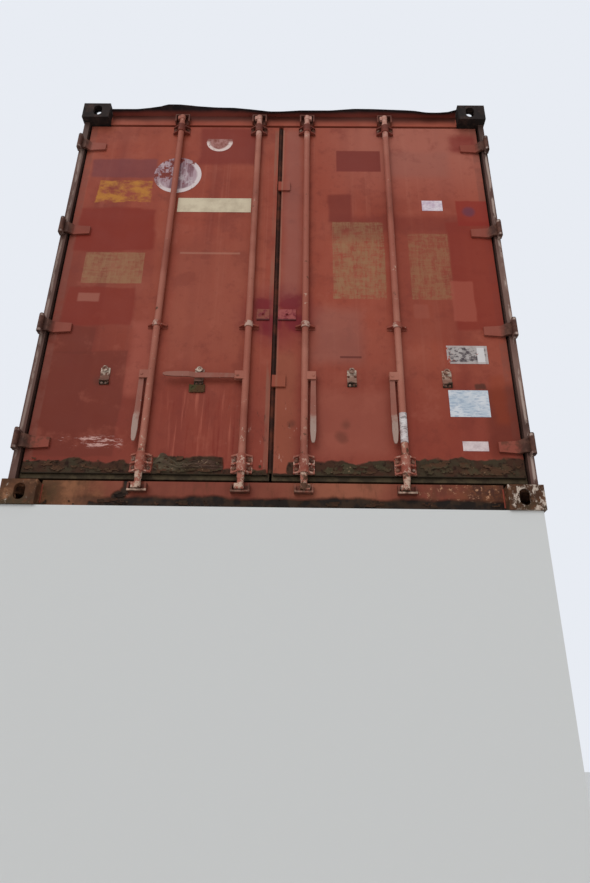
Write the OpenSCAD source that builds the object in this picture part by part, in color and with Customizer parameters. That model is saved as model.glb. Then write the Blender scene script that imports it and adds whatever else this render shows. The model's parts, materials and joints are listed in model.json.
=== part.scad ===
/* [Overall size] */
// Length over the corner fittings
length = 6058; // [5000:1:7000]
// Width over the corner fittings
width = 2438; // [2300:1:2600]
// Height over the corner fittings
height = 2591; // [2400:1:2900]

/* [Corner fittings] */
// Length of a fitting along the container
fitting_l = 178; // [170:1:186]
// Width of a fitting
fitting_w = 162; // [156:1:170]
// Height of a fitting
fitting_h = 118; // [112:1:126]
// Thickness of the top and bottom faces of a fitting
fitting_face_t = 28; // [24:1:30]
// Thickness of its side and end walls
fitting_wall_t = 20; // [16:1:24]
// Length of the twistlock slot
slot_l = 124.5; // [116:0.5:128]
// Width of the twistlock slot
slot_w = 63.5; // [58:0.5:68]
// Height of the end and side windows
window_h = 79.5; // [70:0.5:84]
// Width of the end and side windows
window_w = 51; // [46:0.5:56]
// Slot centre, in from the end plane
slot_from_end = 101.5; // [96:0.5:106]
// Slot centre, in from the side plane
slot_from_side = 89; // [84:0.5:94]

/* [Frame] */
// Plate of the door posts, header and sill
post_plate_t = 6; // [4:0.5:8]
// Inset of posts, rails and walls from the side and end planes
frame_inset = 6; // [5:0.5:7]
// Front face of the door posts, in from the end plane
post_face_v = 44; // [44:0.5:50]
// Inner side of the tubular part of the door posts
post_u = 38; // [34:1:40]
// Inner side of the door stops on the posts
stop_u = 49; // [46:1:52]
// Clearance between a closed door and its stops
stop_gap = 6; // [5:0.5:8]
// Depth of the door posts' feet, which close the corners over the fittings
foot_depth = 40; // [30:1:50]
// Width of the front posts across the container
front_post_w = 104; // [80:1:130]
// Corner chamfer of the front posts
front_post_chamfer = 22; // [10:1:30]
// Side of the square top rails
top_rail = 60; // [50:1:70]
// Wall of the square top rails
top_rail_t = 3; // [3:0.5:5]
// Top of the top rails below the fittings' top
top_rail_drop = 23; // [22:1:30]
// Height of the bottom rails
bottom_rail_h = 148; // [144:1:152]
// Underside of the bottom rails above the ground plane
bottom_rail_z = 14; // [11:1:17]
// Sheet of the bottom rails
bottom_rail_t = 4.5; // [4:0.5:6]
// Top flange of the bottom rails
bottom_flange_top = 48; // [46:1:60]
// Bottom flange of the bottom rails
bottom_flange_low = 30; // [24:1:40]

/* [Floor] */
// Thickness of the floor boards
floor_t = 28; // [24:1:32]
// Number of floor boards across the container
floor_boards_n = 6; // [4:1:8]
// Groove between floor boards
floor_groove = 4; // [2:0.5:6]
// Distance between cross members
cross_pitch = 300; // [280:1:330]
// Flange of a cross member
cross_flange = 45; // [40:1:50]
// Thickness of a cross member
cross_t = 4; // [3.5:0.5:6]
// Distance between the fork pockets' centres
pocket_pitch = 2080; // [2000:1:2120]
// Clear width of a fork pocket
pocket_w = 360; // [340:1:380]
// Plate of the fork pockets
pocket_t = 5; // [4:0.5:6]
// Length of the strap below each end of a fork pocket
pocket_strap = 250; // [200:1:300]

/* [Corrugated walls] */
// Thickness of the wall sheets
wall_t = 2; // [1.6:0.1:3]
// Depth of the side wall corrugation
side_depth = 36; // [30:1:40]
// Outer flat of the side wall corrugation
side_outer = 72; // [66:1:80]
// Slope of the side wall corrugation
side_slope = 68; // [60:1:74]
// Inner flat of the side wall corrugation
side_inner = 70; // [64:1:80]
// Depth of the front wall corrugation
front_depth = 45; // [36:1:50]
// Outer flat of the front wall corrugation
front_outer = 110; // [90:1:120]
// Slope of the front wall corrugation
front_slope = 18; // [14:1:30]
// Inner flat of the front wall corrugation
front_inner = 104; // [90:1:120]

/* [Roof] */
// Thickness of the roof sheet
roof_t = 2; // [1.6:0.1:3]
// Height of the pressed roof corrugation
roof_depth = 17; // [10:1:18]
// Crest of the roof corrugation
roof_crest = 91; // [80:1:100]
// Slope of the roof corrugation
roof_slope = 14; // [10:1:20]
// Valley of the roof corrugation
roof_valley = 90; // [80:1:100]
// Flat border of the roof sheet along the top rails
roof_border = 70; // [60:1:90]

/* [Header and sill] */
// Front face of the header and the sill, in from the end plane
header_v = 60; // [60:0.5:64]
// Underside of the header below the fittings' top
header_low = 113; // [108:1:116]
// Top of the header's face below the fittings' top
header_top = 27; // [26:1:32]
// Depth of the header box
header_depth = 110; // [80:1:118]
// Depth of the slope on top of the header
header_slope = 34; // [24:1:44]
// Thickness of the gutter sheet
gutter_t = 4; // [3:0.5:5]
// Front edge of the gutter, in from the end plane
gutter_v = 20; // [20:1:26]
// Fall of the gutter towards its front edge
gutter_fall = 10; // [6:1:14]
// Front height of the sill above the ground plane
sill_h = 135; // [130:1:138]
// Underside of the sill above the ground plane
sill_z = 14; // [10:1:18]
// Depth of the nearly flat front part of the sill's top
sill_step = 60; // [40:1:80]
// Rise of that part
sill_rise = 4; // [2:0.5:8]

/* [Doors] */
// Outer face of the doors, in from the end plane
door_v = 62; // [62:0.5:66]
// Thickness of the door frames
door_t = 50; // [40:1:56]
// Outer edge of the doors, in from the side plane
door_edge_u = 50; // [48:1:54]
// Underside of the doors above the ground plane
door_z = 172; // [168:1:176]
// Gap between the doors' top edge and the header
door_top_gap = 15; // [13:1:18]
// Inner edge of the left door, left of the centre plane
left_seam = 24; // [22:1:27]
// Inner edge of the right door, right of the centre plane
right_seam = 2; // [1:0.5:4]
// Width of the stiles
stile_w = 100; // [80:1:120]
// Height of the top and bottom rails of the doors
door_rail_h = 100; // [80:1:130]
// Thickness of the door panel sheet
door_sheet_t = 3; // [2:0.5:4]
// Depth of the stiffeners inside the doors
stiffener_d = 30; // [20:1:36]
// Height of the stiffeners inside the doors
stiffener_h = 90; // [60:1:120]
// Number of stiffeners inside a door
stiffener_n = 4; // [3:1:6]
// How far the gasket stands out from the door's top and outer edges
gasket_out = 7; // [6:0.5:7]
// How far the gasket hangs below the door
gasket_low = 22; // [16:1:24]
// How far the left and the right gasket reach into the centre gap
left_gasket_seam = 8; // [6:0.5:8]
// The same for the right door
right_gasket_seam = 6; // [4:0.5:6]
// Front of the gasket behind the door's face
gasket_v = 12; // [8:1:20]
// Thickness of the gasket
gasket_t = 20; // [14:1:24]

/* [Hinges] */
// Height of the lowest hinge
hinge_z = 326; // [300:1:350]
// Highest hinge below the fittings' top
hinge_drop = 309; // [280:1:330]
// Number of hinges on each door
hinge_n = 4; // [3:1:5]
// Hinge pin, in from the side plane and from the end plane
pin_in = 14; // [14:0.5:15]
// Radius of the hinge pins
pin_r = 8; // [7:0.5:9]
// Outer radius of the hinge knuckles and lugs
knuckle_r = 12.5; // [12:0.25:13]
// Height of the hinge blades at the pin
blade_h = 75; // [60:1:90]
// Height of the hinge blades at the tip
blade_tip_h = 50; // [40:1:70]
// Tip of the hinge blades, in from the side plane
blade_tip_u = 160; // [145:1:180]
// Thickness of the hinge blades
blade_t = 12; // [10:0.5:12]
// Thickness of the hinge lugs
lug_t = 12; // [8:1:16]
// Play between a blade and its lugs
lug_play = 0.6; // [0.4:0.1:2]

/* [Lock bars] */
// Distance of the outer bars from the centre plane
outer_bar_x = 615; // [590:1:640]
// Distance of the inner bars from the centre plane
inner_bar_x = 145; // [140:1:180]
// Axis of the bars, in from the end plane
bar_v = 38; // [36:0.5:38]
// Outer radius of the bars
bar_r = 17; // [15:0.5:17]
// Wall of the bars
bar_wall = 3.5; // [2.5:0.5:5]
// Play of the bars in their brackets
bar_play = 0.3; // [0.2:0.1:1]
// Centre of the top brackets below the fittings' top
top_bracket_drop = 172; // [160:1:190]
// Centre of the middle brackets
mid_bracket_z = 993; // [950:1:1050]
// Centre of the bottom brackets
low_bracket_z = 222; // [222:1:240]
// Height of the top brackets
top_bracket_h = 54; // [40:1:60]
// Height of the middle brackets
mid_bracket_h = 30; // [24:1:50]
// Height of the bottom brackets
low_bracket_h = 90; // [70:1:90]
// Width of the brackets
bracket_w = 100; // [80:1:110]
// Sleeve radius of the brackets
sleeve_r = 22; // [21:0.5:22]
// Plate of the brackets
bracket_t = 8; // [6:1:12]
// Radius of the cam hubs
cam_r = 15; // [13:0.5:15]
// Reach of the cam nose from the bar's axis
cam_reach = 30; // [24:1:32]
// Height of the cam nose
cam_h = 26; // [18:1:32]

/* [Keepers] */
// Clear width between the ears of a keeper
keeper_gap = 72; // [70:1:80]
// Thickness of the ears
keeper_t = 8; // [6:1:12]
// Height of a keeper
keeper_h = 54; // [46:1:56]
// Height of the ears of the bottom keepers
low_keeper_h = 32; // [30:1:44]
// Front of the ears, in from the end plane
keeper_v = 30; // [26:1:36]
// Foot plate of the bottom keepers above the ground plane
keeper_z = 80; // [74:1:84]

/* [Handles] */
// Height of the handle pins
handle_z = 690; // [660:1:720]
// Distance of the handle pin from the bar's axis
handle_offset = 42; // [40:1:46]
// Length of a handle from its pin
handle_l = 365; // [330:1:390]
// Width of a handle
handle_w = 28; // [24:1:32]
// Thickness of a handle
handle_t = 8; // [7:0.5:8]
// Back face of a handle at its pin, in from the end plane
handle_back = 40; // [39:0.5:40]
// How far the grip of a handle is set forward
handle_set = 11; // [8:1:11]
// Radius of the handle pins
handle_pin_r = 6.5; // [5:0.5:8]
// Height of a handle hub
hub_h = 44; // [36:1:60]
// Retainer, away from the handle pin
retainer_reach = 191; // [180:1:205]
// Width of a retainer
retainer_w = 46; // [36:1:56]

/* [Seal plates and overlap lugs] */
// Centre of the seal plates
seal_z = 1072; // [1050:1:1150]
// Height of the seal plates
seal_h = 68; // [50:1:80]
// Outer edge of the left seal plate from the centre plane
left_seal_x = 108; // [90:1:112]
// Outer edge of the right seal plate from the centre plane
right_seal_x = 96; // [80:1:112]
// Thickness of the seal plates
seal_t = 5; // [4:0.5:6]
// Centre of the upper overlap lug
upper_lug_z = 1973; // [1900:1:2050]
// Centre of the lower overlap lug
lower_lug_z = 673; // [600:1:750]
// Height of the overlap lugs
lug_h = 66; // [50:1:80]
// Outer end of the overlap lugs from the centre plane
lug_x = 50; // [40:1:60]

/* [Hidden] */

// Planes and levels that follow from the sizes above
half_l = length / 2;
half_w = width / 2;
inner_l = length - 2 * fitting_l;
top_rail_top = height - top_rail_drop;
top_rail_low = top_rail_top - top_rail;
rail_top = bottom_rail_z + bottom_rail_h;
floor_low = rail_top - floor_t;
cross_low = bottom_rail_z + bottom_rail_t;
cross_h = floor_low - cross_low;
rail_web = frame_inset + 2 + bottom_rail_t;
header_z = height - header_low;
header_face_top = height - header_top;
door_top = header_z - door_top_gap;
door_back = door_v + door_t;
stop_v = door_back + stop_gap;
hinge_pitch = (height - hinge_drop - hinge_z) / (hinge_n - 1);
top_bracket_z = height - top_bracket_drop;
wall_u = frame_inset + 2;
between_fittings = half_w - fitting_w;
blade_back = post_face_v - 5;
blade_front = blade_back - blade_t;
bar_fit_r = bar_r + bar_play;
retainer_front = handle_back + 5;
fine = 64;

steel_red = [0.52, 0.24, 0.2];
post_brown = [0.38, 0.27, 0.24];
rust_brown = [0.4, 0.25, 0.16];
dark_steel = [0.2, 0.17, 0.16];
gear_red = [0.6, 0.33, 0.28];
rubber_black = [0.1, 0.1, 0.1];
board_brown = [0.45, 0.32, 0.2];

// A plain box given by its low and high corner
module block(low, high) {
    translate(low) cube(high - low);
}

// Mirror what was drawn on the right side to the left where side is -1
module on_side(side) {
    mirror([side < 0 ? 1 : 0, 0, 0]) children();
}

// Origin in the right corner of the door end: X runs inwards from the side, Y runs inwards from the end
module door_corner(side) {
    on_side(side) translate([half_w, -half_l, 0]) mirror([1, 0, 0]) children();
}

// The same in a corner of the front end
module front_corner(side) {
    mirror([0, 1, 0]) door_corner(side) children();
}

// Origin in the end plane of the doors: X stays across, Y runs inwards from the end
module door_end() {
    translate([0, -half_l, 0]) children();
}

// A cutter for the slots and windows: a bar with round ends along Y
module slot_cutter(long, wide, depth) {
    cube([wide, long - wide, depth], center = true);
    for (s = [-1, 1])
        translate([0, s * (long - wide) / 2, 0])
            cylinder(d = wide, h = depth, center = true, $fn = fine);
}

// A cast corner fitting, its outer corner at the origin and its slot face down
module corner_fitting() {
    difference() {
        cube([fitting_w, fitting_l, fitting_h]);
        translate([fitting_wall_t, fitting_wall_t, fitting_face_t])
            cube([fitting_w - 2 * fitting_wall_t, fitting_l - 2 * fitting_wall_t,
                fitting_h - 2 * fitting_face_t]);
        translate([slot_from_side, slot_from_end, fitting_face_t / 2])
            slot_cutter(slot_l, slot_w, fitting_face_t + 1);
        translate([slot_from_side, fitting_wall_t / 2, fitting_h / 2])
            rotate([90, 0, 0]) slot_cutter(window_h, window_w, fitting_wall_t + 1);
        translate([fitting_wall_t / 2, slot_from_end, fitting_h / 2])
            rotate([90, 0, 0]) rotate([0, 90, 0]) slot_cutter(window_h, window_w, fitting_wall_t + 1);
    }
}

module bottom_corner_fittings() {
    color(rust_brown)
        for (side = [-1, 1]) {
            door_corner(side) corner_fitting();
            front_corner(side) corner_fitting();
        }
}

module top_corner_fittings() {
    color(dark_steel)
        for (side = [-1, 1]) {
            translate([0, 0, height]) mirror([0, 0, 1]) door_corner(side) corner_fitting();
            translate([0, 0, height]) mirror([0, 0, 1]) front_corner(side) corner_fitting();
        }
}

// A hinge lug: a flat plate from the post's face out to the pin
module hinge_lug() {
    difference() {
        union() {
            block([pin_in - knuckle_r, pin_in, 0], [pin_in + knuckle_r, post_face_v, lug_t]);
            translate([pin_in, pin_in, 0]) cylinder(r = knuckle_r, h = lug_t, $fn = fine);
        }
        translate([pin_in, pin_in, -1]) cylinder(r = pin_r + 0.05, h = lug_t + 2, $fn = fine);
    }
}

// Door post: a tube of bent plate with a bar inside it that stops the door, and the hinge lugs
module door_post(side) {
    z0 = fitting_h;
    z1 = height - fitting_h;
    t = post_plate_t;
    color(post_brown) door_corner(side) {
        difference() {
            union() {
                block([frame_inset, post_face_v, z0], [post_u, fitting_l, z1]);
                block([post_u - 1, stop_v, z0], [stop_u, fitting_l, z1]);
            }
            block([frame_inset + t, post_face_v + t, z0 - 1], [post_u - t, fitting_l - t, z1 + 1]);
        }
        block([stop_u - 1, fitting_l - t, z0], [fitting_w, fitting_l, rail_top]);
        block([stop_u - 1, fitting_l - foot_depth, rail_top - t], [fitting_w, fitting_l, rail_top]);
        for (i = [0 : hinge_n - 1])
            translate([0, 0, hinge_z + i * hinge_pitch]) {
                translate([0, 0, blade_h / 2 + lug_play]) hinge_lug();
                translate([0, 0, -blade_h / 2 - lug_play - lug_t]) hinge_lug();
            }
    }
}

module left_door_post() { door_post(-1); }
module right_door_post() { door_post(1); }

// Front post: a closed section of bent plate with its outer corner cut off. Its foot runs over
// the fitting to the bottom rail.
module front_post(side) {
    t = post_plate_t;
    u0 = frame_inset + 2;
    u1 = u0 + front_post_w;
    c = front_post_chamfer;
    color(post_brown) front_corner(side) {
        translate([0, 0, fitting_h])
            linear_extrude(height - 2 * fitting_h)
                difference() {
                    polygon([[u0 + c, u0], [u1, u0], [u1, fitting_l], [u0, fitting_l], [u0, u0 + c]]);
                    polygon([[u0 + t + c, u0 + t], [u1 - t, u0 + t], [u1 - t, fitting_l - t],
                        [u0 + t, fitting_l - t], [u0 + t, u0 + t + c]]);
                }
        block([u1 - 1, u0, fitting_h], [fitting_w, u0 + t, rail_top]);
        block([u1 - 1, u0, rail_top - t], [fitting_w, u0 + bottom_flange_top, rail_top]);
    }
}

module left_front_post() { front_post(-1); }
module right_front_post() { front_post(1); }

// A square tube along Y between the fittings
module top_side_rail(side) {
    t = top_rail_t;
    u0 = wall_u;
    color(steel_red) door_corner(side)
        difference() {
            block([u0, fitting_l, top_rail_low], [u0 + top_rail, length - fitting_l, top_rail_top]);
            block([u0 + t, fitting_l - 1, top_rail_low + t],
                [u0 + top_rail - t, length - fitting_l + 1, top_rail_top - t]);
        }
}

module left_top_rail() { top_side_rail(-1); }
module right_top_rail() { top_side_rail(1); }

// Bottom side rail: a channel with the fork pockets cut through its web
module bottom_side_rail(side) {
    t = bottom_rail_t;
    color(steel_red) door_corner(side)
        difference() {
            union() {
                block([wall_u, fitting_l, bottom_rail_z], [wall_u + t, length - fitting_l, rail_top]);
                block([wall_u, fitting_l, rail_top - t],
                    [wall_u + bottom_flange_top, length - fitting_l, rail_top]);
                block([wall_u, fitting_l, bottom_rail_z],
                    [wall_u + bottom_flange_low, length - fitting_l, bottom_rail_z + t]);
            }
            for (s = [-1, 1])
                block([wall_u - 1, half_l + s * pocket_pitch / 2 - pocket_w / 2, cross_low + cross_t],
                    [wall_u + t + 1, half_l + s * pocket_pitch / 2 + pocket_w / 2, floor_low - pocket_t]);
        }
}

module left_bottom_rail() { bottom_side_rail(-1); }
module right_bottom_rail() { bottom_side_rail(1); }

// Front top rail with the gusset plate that protects the roof beside the fittings
module front_top_rail() {
    t = top_rail_t;
    x = between_fittings;
    y1 = half_l - wall_u;
    color(steel_red) {
        difference() {
            block([-x, y1 - top_rail, top_rail_low], [x, y1, top_rail_top]);
            block([-x - 1, y1 - top_rail + t, top_rail_low + t], [x + 1, y1 - t, top_rail_top - t]);
        }
        block([-x, half_l - fitting_l, top_rail_top], [x, y1, top_rail_top + t]);
    }
}

// Front bottom rail: a channel open to the inside
module front_bottom_rail() {
    t = bottom_rail_t;
    x = between_fittings;
    y1 = half_l - wall_u;
    color(steel_red) {
        block([-x, y1 - t, bottom_rail_z], [x, y1, rail_top]);
        block([-x, y1 - bottom_flange_top, rail_top - t], [x, y1, rail_top]);
        block([-x, y1 - bottom_flange_top, bottom_rail_z], [x, y1, bottom_rail_z + t]);
    }
}

// Header over the doors: a box of bent plate, sloped on top, whose top plate runs back to the roof
module door_header() {
    t = post_plate_t;
    back = header_v + header_depth;
    slope_v = header_v + header_slope;
    plate_top = top_rail_top + top_rail_t;
    x = between_fittings;
    outline = [[header_v, header_z], [back, header_z], [back, top_rail_top], [fitting_l, top_rail_top],
        [fitting_l, plate_top], [slope_v, plate_top], [header_v, header_face_top]];
    hollow = [[header_v + t, header_z + t], [back - t, header_z + t], [back - t, top_rail_top - t],
        [slope_v, top_rail_top - t], [header_v + t, header_face_top - t]];
    color(steel_red) door_end()
        rotate([90, 0, 90]) translate([0, 0, -x]) linear_extrude(2 * x)
            difference() {
                polygon(outline);
                polygon(hollow);
            }
}

// The gutter over the header is a thin sheet, bent up and dented along its front edge.
// Each pair gives a place across and, there, the edge's lift or how far it is pushed forward.
gutter_lift = [[-1050, 17], [-893, 18], [-821, 29], [-747, 38], [-708, 40], [-672, 54], [-635, 46],
    [-525, 38], [-305, 34], [-193, 20], [-83, 3], [-9, 4], [101, 14], [284, 15], [431, 31], [541, 30],
    [724, 22], [797, 17], [869, 2], [942, 1], [1003, 8], [1054, 28]];
gutter_push = [[-821, 0], [-747, 5], [-708, 17], [-635, 17], [-525, 6], [-415, 0]];
gutter_steps = 84;
gutter_low = header_face_top - 4;

function gutter_tip_z(x) = min(height - 2, gutter_low - gutter_fall + lookup(x, gutter_lift));
function gutter_tip_v(x) = gutter_v - lookup(x, gutter_push);

module header_gutter() {
    x1 = between_fittings - 2;
    stations = [for (i = [0 : gutter_steps]) -x1 + 2 * x1 * i / gutter_steps];
    ring_n = 6;
    ring = function(x)
        let (z = gutter_tip_z(x), v = gutter_tip_v(x), m = (header_v + v) / 2, mz = (gutter_low + z) / 2)
        [[x, header_v, gutter_low - gutter_t], [x, m, mz - gutter_t], [x, v, z - gutter_t],
            [x, v, z], [x, m, mz], [x, header_v, gutter_low]];
    points = [for (x = stations) each ring(x)];
    sides = [for (i = [0 : gutter_steps - 1], k = [0 : ring_n - 1])
        let (a = i * ring_n + k, b = i * ring_n + (k + 1) % ring_n)
        each [[a, b, b + ring_n], [a, b + ring_n, a + ring_n]]];
    first = [for (k = [0 : ring_n - 1]) ring_n - 1 - k];
    last = [for (k = [0 : ring_n - 1]) gutter_steps * ring_n + k];
    color(dark_steel) door_end() polyhedron(points, concat(sides, [first, last]), convexity = 6);
}

// Sill under the doors: a box whose top slopes up to the floor
module door_sill() {
    t = bottom_rail_t;
    x = between_fittings;
    step_v = header_v + sill_step;
    step_z = sill_h + sill_rise;
    outline = [[header_v, sill_z], [fitting_l, sill_z], [fitting_l, rail_top], [step_v, step_z],
        [header_v, sill_h]];
    hollow = [[header_v + t, sill_z + t], [fitting_l - t, sill_z + t], [fitting_l - t, rail_top - 2 * t],
        [step_v, step_z - t], [header_v + t, sill_h - t]];
    color(steel_red) door_end()
        rotate([90, 0, 90]) translate([0, 0, -x]) linear_extrude(2 * x)
            difference() {
                polygon(outline);
                polygon(hollow);
            }
}

// Path of a trapezoidal corrugation of n bays along X: outer flats at 0, inner flats at depth
function corrugation(n, span, depth, outer, slope, inner) =
    let (pitch = outer + 2 * slope + inner, start = (span - n * pitch) / 2)
    concat([[0, 0]],
        [for (i = [0 : n - 1], p = [[outer / 2, 0], [outer / 2 + slope, depth],
            [outer / 2 + slope + inner, depth], [outer / 2 + 2 * slope + inner, 0]])
            [start + i * pitch + p[0], p[1]]],
        [[span, 0]]);

// The same path closed into a sheet of even thickness along Y
module corrugated_sheet(span, depth, outer, slope, inner, t, h) {
    n = floor((span - outer) / (outer + 2 * slope + inner));
    path = corrugation(n, span, depth - t, outer, slope, inner);
    last = len(path) - 1;
    linear_extrude(h)
        polygon(concat(path, [for (i = [0 : last]) path[last - i] + [0, t]]));
}

module side_wall(side) {
    color(steel_red) door_corner(side)
        translate([wall_u, fitting_l, rail_top]) mirror([1, 0, 0]) rotate([0, 0, 90])
            corrugated_sheet(inner_l, side_depth, side_outer, side_slope, side_inner, wall_t,
                top_rail_low - rail_top);
}

module left_side_wall() { side_wall(-1); }
module right_side_wall() { side_wall(1); }

// The front wall is cut out round the top fittings, which reach in over it
module front_wall() {
    span = 2 * (half_w - wall_u - front_post_w);
    fitting_low = height - fitting_h;
    color(steel_red) difference() {
        translate([span / 2, half_l - wall_u, rail_top]) rotate([0, 0, 180])
            corrugated_sheet(span, front_depth, front_outer, front_slope, front_inner, wall_t,
                top_rail_low - rail_top);
        for (side = [-1, 1])
            front_corner(side) block([0, 0, fitting_low], [fitting_w, fitting_l, height]);
    }
}

// Roof: a sheet with pressed corrugations that fade out into a flat border, and a few dents
function bump(x, c, w) = exp(-pow((x - c) / w, 2));
roof_dents = [[-420, -1900, 300, 12], [380, 700, 420, 14], [-150, 2100, 260, 9]];

function roof_fade(x) =
    let (edge = half_w - wall_u - roof_border) min(1, max(0, (edge - abs(x)) / 40));
function roof_dent(x, y, i = 0) =
    i >= len(roof_dents) ? 0
    : roof_dents[i][3] * bump(x, roof_dents[i][0], roof_dents[i][2])
        * bump(y, roof_dents[i][1], roof_dents[i][2]) + roof_dent(x, y, i + 1);

module roof_sheet() {
    pitch = roof_crest + roof_valley + 2 * roof_slope;
    n = floor((inner_l - roof_valley) / pitch);
    start = (inner_l - n * pitch) / 2;
    rows = concat([[0, 0]],
        [for (i = [0 : n - 1], p = [[roof_valley / 2, 0], [roof_valley / 2 + roof_slope, 1],
            [roof_valley / 2 + roof_slope + roof_crest, 1],
            [roof_valley / 2 + 2 * roof_slope + roof_crest, 0]]) [start + i * pitch + p[0], p[1]]],
        [[inner_l, 0]]);
    edge = half_w - wall_u;
    inner = edge - roof_border;
    columns = [-edge, -inner, -inner + 40, -700, -420, -150, 120, 380, 700, inner - 40, inner, edge];
    rows_n = len(rows);
    cols_n = len(columns);
    skin = function(lift)
        [for (r = rows, x = columns)
            let (y = r[0] - inner_l / 2)
            [x, y, top_rail_top + lift + roof_fade(x) * (roof_depth * r[1] - roof_dent(x, y) * 0.9)]];
    top = rows_n * cols_n;
    points = concat(skin(0), skin(roof_t));
    at = function(r, c) r * cols_n + c;
    low_faces = [for (r = [0 : rows_n - 2], c = [0 : cols_n - 2])
        [at(r, c), at(r, c + 1), at(r + 1, c + 1), at(r + 1, c)]];
    high_faces = [for (f = low_faces) [top + f[3], top + f[2], top + f[1], top + f[0]]];
    near_edge = [for (c = [0 : cols_n - 2]) [at(0, c + 1), at(0, c), top + at(0, c), top + at(0, c + 1)]];
    far_edge = [for (c = [0 : cols_n - 2])
        [at(rows_n - 1, c), at(rows_n - 1, c + 1), top + at(rows_n - 1, c + 1), top + at(rows_n - 1, c)]];
    left_edge = [for (r = [0 : rows_n - 2]) [at(r, 0), at(r + 1, 0), top + at(r + 1, 0), top + at(r, 0)]];
    right_edge = [for (r = [0 : rows_n - 2])
        [at(r + 1, cols_n - 1), at(r, cols_n - 1), top + at(r, cols_n - 1), top + at(r + 1, cols_n - 1)]];
    color(steel_red)
        polyhedron(points, concat(low_faces, high_faces, near_edge, far_edge, left_edge, right_edge),
            convexity = 10);
}

// Floor boards along the container, with shallow grooves between them
module floor_boards() {
    x = half_w - wall_u - bottom_flange_top - 2;
    x_end = half_w - wall_u - front_post_w - 2;
    y0 = -half_l + fitting_l + 2;
    y1 = half_l - fitting_l - 2;
    y2 = half_l - wall_u - bottom_flange_top - 2;
    board = 2 * x / floor_boards_n;
    color(board_brown) difference() {
        union() {
            block([-x, y0, floor_low], [x, y1, rail_top]);
            block([-x_end, y1 - 1, floor_low], [x_end, y2, rail_top]);
        }
        for (i = [1 : floor_boards_n - 1])
            block([-x + i * board - floor_groove / 2, y0 - 1, rail_top - 5],
                [-x + i * board + floor_groove / 2, y2 + 1, rail_top + 1]);
    }
}

// Places of the cross members, leaving out those that the fork pockets replace
cross_half_n = floor((inner_l / 2 - cross_flange) / cross_pitch);
cross_places = [for (i = [-cross_half_n : cross_half_n])
    if (abs(abs(i * cross_pitch) - pocket_pitch / 2) > pocket_w / 2 + pocket_t + cross_flange + 10)
        i * cross_pitch];

module cross_members() {
    x = half_w - rail_web;
    t = cross_t;
    color(dark_steel) for (y = cross_places) {
        block([-x, y, cross_low], [x, y + t, floor_low]);
        block([-x, y, cross_low], [x, y + cross_flange, cross_low + t]);
        block([-x, y, floor_low - t], [x, y + cross_flange, floor_low]);
    }
}

// Fork pockets: tunnels across the container, closed below by a strap at each end
module fork_pockets() {
    x = half_w - rail_web;
    t = pocket_t;
    w = pocket_w / 2;
    color(dark_steel) for (s = [-1, 1])
        translate([0, s * pocket_pitch / 2, 0]) {
            for (k = [-1, 1])
                block([-x, k * (w + t / 2) - t / 2, cross_low], [x, k * (w + t / 2) + t / 2, floor_low]);
            block([-x, -w, floor_low - t], [x, w, floor_low]);
            for (k = [-1, 1])
                block([k * (x - pocket_strap / 2) - pocket_strap / 2, -w, cross_low],
                    [k * (x - pocket_strap / 2) + pocket_strap / 2, w, cross_low + cross_t]);
        }
}

bar_places = [-outer_bar_x, -inner_bar_x, inner_bar_x, outer_bar_x];

// A keeper: two ears on the frame, joined by a foot plate on the side away from the door
module keeper(h) {
    w = keeper_gap / 2;
    t = keeper_t;
    for (s = [-1, 1])
        block([s * (w + t / 2) - t / 2, keeper_v, 0], [s * (w + t / 2) + t / 2, header_v, h]);
    block([-w, header_v - 3, 0], [w, header_v, h]);
    block([-w - t, keeper_v, -t], [w + t, header_v, 0]);
}

top_keeper_h = keeper_h - 4;
top_keeper_z = header_z + 2 + top_keeper_h;

module top_keepers() {
    color(gear_red) door_end() for (x = bar_places)
        translate([x, 0, top_keeper_z]) mirror([0, 0, 1]) keeper(top_keeper_h);
}

module bottom_keepers() {
    color(gear_red) door_end() for (x = bar_places)
        translate([x, 0, keeper_z + keeper_t]) keeper(low_keeper_h);
}

module hinge_pins(side) {
    color(dark_steel) door_corner(side)
        for (i = [0 : hinge_n - 1])
            translate([pin_in, pin_in, hinge_z + i * hinge_pitch]) {
                stack = blade_h + 2 * lug_play + 2 * lug_t;
                translate([0, 0, -stack / 2 - 4]) cylinder(r = pin_r, h = stack + 4, $fn = fine);
                translate([0, 0, stack / 2]) cylinder(r = pin_r + 3, h = 5, $fn = fine);
            }
}

module left_hinge_pins() { hinge_pins(-1); }
module right_hinge_pins() { hinge_pins(1); }

// Ring of the door frame; its top and bottom rails are channels open to the inside
module door_frame(side, seam) {
    x0 = seam;
    x1 = half_w - door_edge_u;
    s = stile_w;
    r = door_rail_h;
    t = post_plate_t;
    color(steel_red) on_side(side) door_end() difference() {
        block([x0, door_v, door_z], [x1, door_back, door_top]);
        block([x0 + s, door_v - 1, door_z + r], [x1 - s, door_back + 1, door_top - r]);
        block([x0 + s, door_v + t, door_z + t], [x1 - s, door_back + 1, door_z + r - t]);
        block([x0 + s, door_v + t, door_top - r + t], [x1 - s, door_back + 1, door_top - t]);
    }
}

module left_door_frame() { door_frame(-1, left_seam); }
module right_door_frame() { door_frame(1, right_seam); }

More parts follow.
